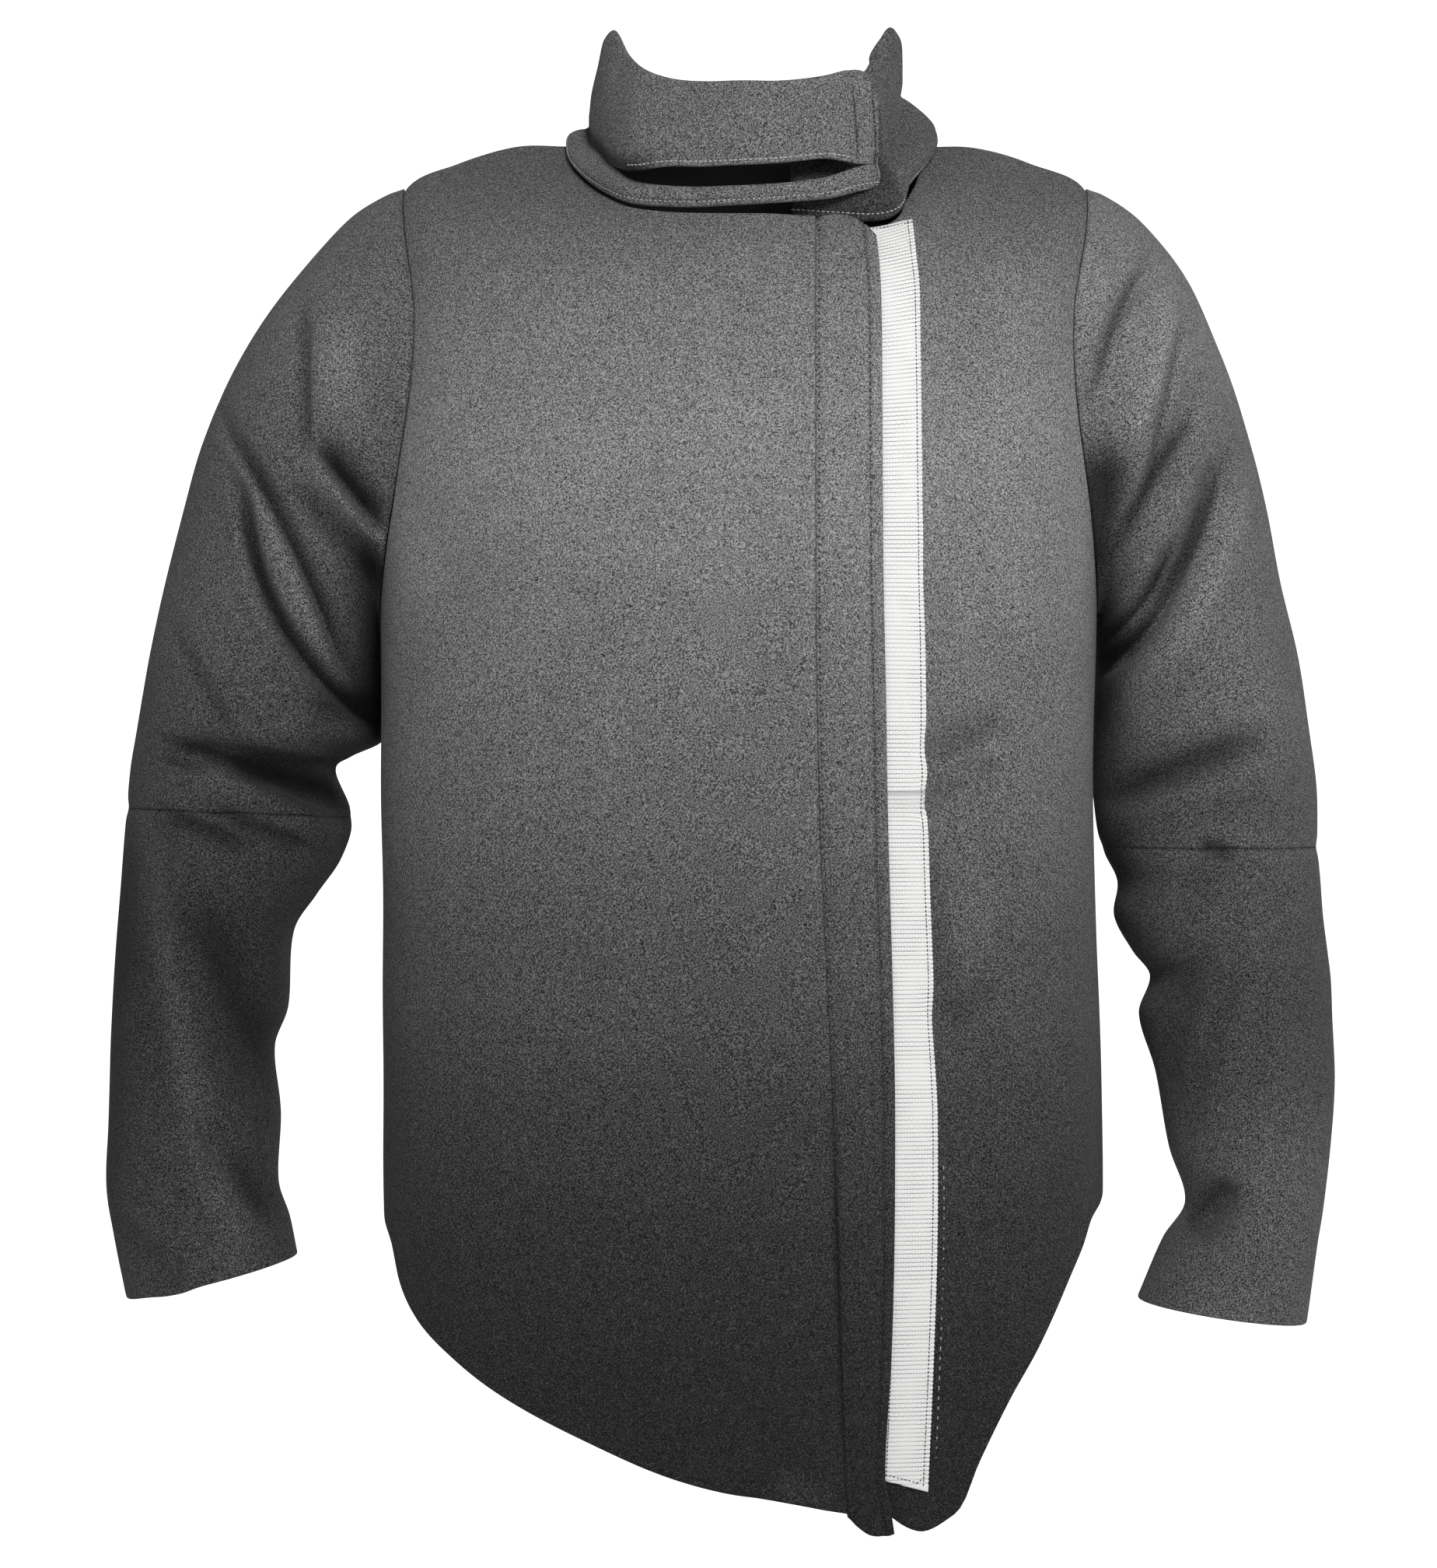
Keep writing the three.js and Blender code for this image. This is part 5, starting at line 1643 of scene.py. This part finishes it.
# %% Rows of stitches
def stitches(name, paths, pitch, length, thread, finish):
    """Rows of stitches along paths, each of points and the directions away from the cloth there."""
    points, ups, edges = [], [], []
    for line, away in paths:
        start = sum(len(p) for p in points)
        points.append(line * MM)
        ups.append(away)
        edges += [(start + k, start + k + 1) for k in range(len(line) - 1)]
    mesh = bpy.data.meshes.new(name)
    mesh.from_pydata(np.concatenate(points).tolist(), edges, [])
    attribute = mesh.attributes.new("up", "FLOAT_VECTOR", "POINT")
    attribute.data.foreach_set("vector", np.concatenate(ups).astype(np.float32).ravel())
    guide = bpy.data.objects.new(name, mesh)
    bpy.context.collection.objects.link(guide)
    values = {
        "Pitch": pitch * MM,
        "Stitch length": length * MM,
        "Thread": thread * MM,
        "Finish": finish,
        "Seed": 4,
    }
    return apply_tree(guide, stitch_tree, values)


# %% [markdown]
# ### Rows on the placket, the collar and the tape
# The placket has long stitches, the collar and the tape short ones. Each path is read from the
# surface that it is sewn into, with the channel that the stitches draw, so the thread lies in it.

# %% Paths on the placket
def placket_path(distance_of, top, end, count=240):
    level = np.linspace(top, end, count)
    width = placket_edge(level) - placket_seam(level)
    share = distance_of(width)
    point, normal = placket_surface(share, level)
    return point, normal


placket_rows = [
    placket_path(lambda width: 1 - CHANNEL_IN / width, 24, 747),
    placket_path(lambda width: SEAM_ROW_IN / width, 12, 742),
]
placket_stitches = stitches("placket_stitches", placket_rows, 3.8, 1.7, 0.95, black_thread)


# %% Paths on the collar
def collar_path(travel, share, swell_part, puff):
    point = collar_form(travel, share)
    outward = collar_outward(travel, share)
    swell = puff * np.sin(np.pi * np.clip(swell_part, 0, 1)) ** 0.7
    height = swell - 0.55 + soften(point) * 0.7
    return point + outward * np.asarray(height)[..., None], outward


def up_share(travel, low, distance):
    """Share of the strip at a distance above a lower edge."""
    start = collar_form(travel, low)
    ahead = collar_form(travel, low + 0.02)
    return low + 0.02 * distance / np.maximum(np.linalg.norm(ahead - start, axis=-1), 1e-6)


def part_up(share):
    """How far up the upper band a share of the strip lies."""
    return (share - 0.38) / 0.62


low_travel = np.linspace(COLLAR_FROM + 0.8, COLLAR_TO, 500)
low_share = up_share(low_travel, np.full(low_travel.shape, 0.01), LOW_STITCH_UP)
slot_travel = np.linspace(SLOT_FROM + 8, SLOT_TO - 12, 160)
slot_share = up_share(slot_travel, high_bottom(slot_travel), HIGH_STITCH_UP)
up_part, down_part = np.linspace(0.47, 0.86, 40), np.linspace(0.84, 0.05, 70)
over_part = np.linspace(0, 1, 24)[1:-1]
tab_travel = np.concatenate([
    np.full(40, TAB_INNER), TAB_INNER + (TAB_OUTER - TAB_INNER) * over_part, np.full(70, TAB_OUTER),
])
tab_share = np.concatenate([
    up_part, 0.86 - 0.02 * over_part + 0.045 * np.sin(np.pi * over_part), down_part,
])
second_share = np.linspace(0.50, 0.80, 40)
collar_rows = [
    collar_path(low_travel, low_share, 0.17, LOW_PUFF),
    collar_path(slot_travel, slot_share, 0.06, HIGH_PUFF),
    collar_path(tab_travel, tab_share, part_up(tab_share), HIGH_PUFF),
    collar_path(np.full(40, TAB_INNER + 3.2), second_share, part_up(second_share), HIGH_PUFF),
]
collar_stitches = stitches("collar_stitches", collar_rows[:2], 2.7, 1.5, 0.8, grey_thread)
tab_stitches = stitches("tab_stitches", collar_rows[2:], 2.7, 1.5, 0.7, black_thread)

# %% Paths on the tape
TAPE_ROW_IN = 2.8


def tape_path(share, level):
    point, normal = tape_surface(share, level)
    return point + normal * 0.1, normal


down = np.linspace(TAPE_TOP + 6, TAPE_END + 3, 400)
outer_row = tape_path(np.full(400, 1 - TAPE_ROW_IN / TAPE_WIDTH), down)
low_down = np.linspace(660, TAPE_END - 3, 120)
inner_row = tape_path(np.full(120, 0.6 * TAPE_ROW_IN / TAPE_WIDTH), low_down)
cross = np.linspace(0.6 * TAPE_ROW_IN / TAPE_WIDTH, 1 - TAPE_ROW_IN / TAPE_WIDTH, 40)
top_share = np.linspace(0.06, 0.97, 40)
top_row = tape_path(top_share, TAPE_TOP + 3 + TOP_SLANT * top_share)
bottom_row = tape_path(cross, TAPE_END - 3.5 + END_SLANT * cross - 3.5 * ease(cross, 0.75, 0.9))
tape_stitches = stitches(
    "tape_stitches", [outer_row, inner_row, top_row, bottom_row], 2.1, 1.25, 0.6, black_thread
)


def under_path(x, level):
    """Points on the under front at distances from the middle."""
    angle = angle_at(x, level)
    return under_surface(angle, level), normal_of(under_surface, angle, level, BODY_STEP, BODY_STEP)


side_level = np.linspace(560, 716, 120)
side_row = under_path(tape_outer(side_level) + 4.0, side_level)
under_stitches = stitches("under_front_stitches", [side_row], 5.2, 2.2, 0.6, grey_thread)
fray_level = np.linspace(727, 733, 12)
fray_row = under_path(tape_outer(fray_level) - 1.5 + 0.5 * np.sin(fray_level), fray_level)
tape_frays = stitches("tape_frays", [fray_row], 1.1, 4.2, 0.4, white_thread)

# %% [markdown]
# ## Finishes and what replaces what
# Every piece of cloth gets its finishes, rides on the one rigid body and stands for its solid,
# which is hidden; the size it was cut to is printed beside its area. The stitches ride along
# with the piece that they are sewn into.

# %% Finish and attach every piece
PIECES = [
    (front_right, "front_right", (0.37, 0.76), 0.197, []),
    (front_left, "front_left", (0.29, 0.76), 0.144, [under_stitches]),
    (back, "back", (0.56, 0.64), 0.296, []),
    (placket, "placket", (0.036, 0.78), 0.0255, [placket_stitches]),
    (tape, "front_tape", (0.025, 0.74), 0.0185, [tape_stitches, tape_frays]),
    (lower_band, "collar_lower_band", (0.60, 0.03), 0.0135, [collar_stitches, tab_stitches]),
    (upper_band, "collar_upper_band", (0.52, 0.06), 0.0238, []),
    (sleeve_upper_right, "upper_sleeve_right", (0.50, 0.38), 0.127, []),
    (sleeve_upper_left, "upper_sleeve_left", (0.50, 0.40), 0.124, []),
    (sleeve_lower_right, "lower_sleeve_right", (0.38, 0.28), 0.086, []),
    (sleeve_lower_left, "lower_sleeve_left", (0.38, 0.29), 0.084, []),
]


def area_of(piece):
    return sum(polygon.area for polygon in piece.data.polygons) / 2


for piece, solid, flat, area, sewn in PIECES:
    if piece is not tape:
        piece.data.materials.append(cloth)
        piece.data.materials.append(lining)
    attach(piece, "root")
    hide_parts(solid)
    for row in sewn:
        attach(row, "root")
    print(piece.name, "has", round(area_of(piece), 4), "square metres of cloth, cut", flat)

# %% [markdown]
# ## Studio
# The floor and the wall are plain and pale, and go all the way round, so that the jacket can be
# looked at from every side. A large soft key light high in front lights it most, with a fill and
# two side lights; the hem's fall into dark, as in the real picture, comes mostly from the cloth's
# tone attribute rather than from the light.

# %% Floor and wall
FLOOR_Z = -1.45
WALL_AWAY = 6.0
WALL_TOP = 4.5
WALL_SIDES = 64


def studio_sweep():
    """Floor and round wall as one sheet with a rounded corner between them."""
    bend = 0.8
    profile = [(0.01, FLOOR_Z)]
    for k in range(13):
        a = math.radians(90 * k / 12)
        profile.append((WALL_AWAY - bend + bend * math.sin(a), FLOOR_Z + bend - bend * math.cos(a)))
    profile.append((WALL_AWAY, WALL_TOP))
    count = len(profile)
    points, quads = [], []
    for side in range(WALL_SIDES):
        a = 2 * math.pi * side / WALL_SIDES
        points += [(away * math.cos(a), away * math.sin(a), z) for away, z in profile]
        start, following = side * count, (side + 1) % WALL_SIDES * count
        quads += [(start + k, start + k + 1, following + k + 1, following + k) for k in range(count - 1)]
    mesh = bpy.data.meshes.new("studio_sweep")
    mesh.from_pydata(points, [], quads)
    mesh.polygons.foreach_set("use_smooth", [True] * len(quads))
    sweep = bpy.data.objects.new("studio_sweep", mesh)
    bpy.context.collection.objects.link(sweep)
    material, nodes, links = new_material("pale paper")
    shader = nodes["Principled BSDF"]
    shader.inputs["Base Color"].default_value = (0.9, 0.9, 0.9, 1)
    shader.inputs["Roughness"].default_value = 0.9
    shader.inputs["Emission Color"].default_value = (1, 1, 1, 1)
    seen = nodes.new("ShaderNodeLightPath")
    strength = maths(material.node_tree, "MULTIPLY_ADD", seen.outputs["Is Camera Ray"], 0.95, 0.04)
    links.new(strength, shader.inputs["Emission Strength"])
    mesh.materials.append(material)


studio_sweep()


# %% Lights
def strip_light(name, at, aim, size, energy, spread):
    data = bpy.data.lights.new(name, "AREA")
    data.shape = "RECTANGLE"
    data.size, data.size_y = size
    data.energy = energy
    data.spread = math.radians(spread)
    light = bpy.data.objects.new(name, data)
    light.location = at
    light.visible_camera = False
    direction = np.array(aim) - np.array(at)
    light.rotation_euler = Vector(direction).to_track_quat("-Z", "Y").to_euler()
    bpy.context.collection.objects.link(light)
    return light


strip_light("high_key", (0.55, -2.0, 0.75), (0.0, 0.0, -0.35), (0.9, 0.6), 36, 180)
strip_light("left_fill", (-1.2, -1.8, 0.0), (0.0, 0.0, -0.35), (1.0, 1.2), 7, 180)
strip_light("right_side", (1.8, -0.6, -0.2), (0.2, 0.0, -0.35), (0.6, 1.4), 9, 180)
strip_light("left_side", (-1.8, -0.6, -0.1), (-0.2, 0.0, -0.35), (0.6, 1.4), 2, 180)
world = bpy.data.worlds.new("studio")
world.use_nodes = True
world.node_tree.nodes["Background"].inputs["Color"].default_value = (1, 1, 1, 1)
world.node_tree.nodes["Background"].inputs["Strength"].default_value = 0.08
bpy.context.scene.world = world
bpy.context.scene.view_settings.view_transform = "Standard"
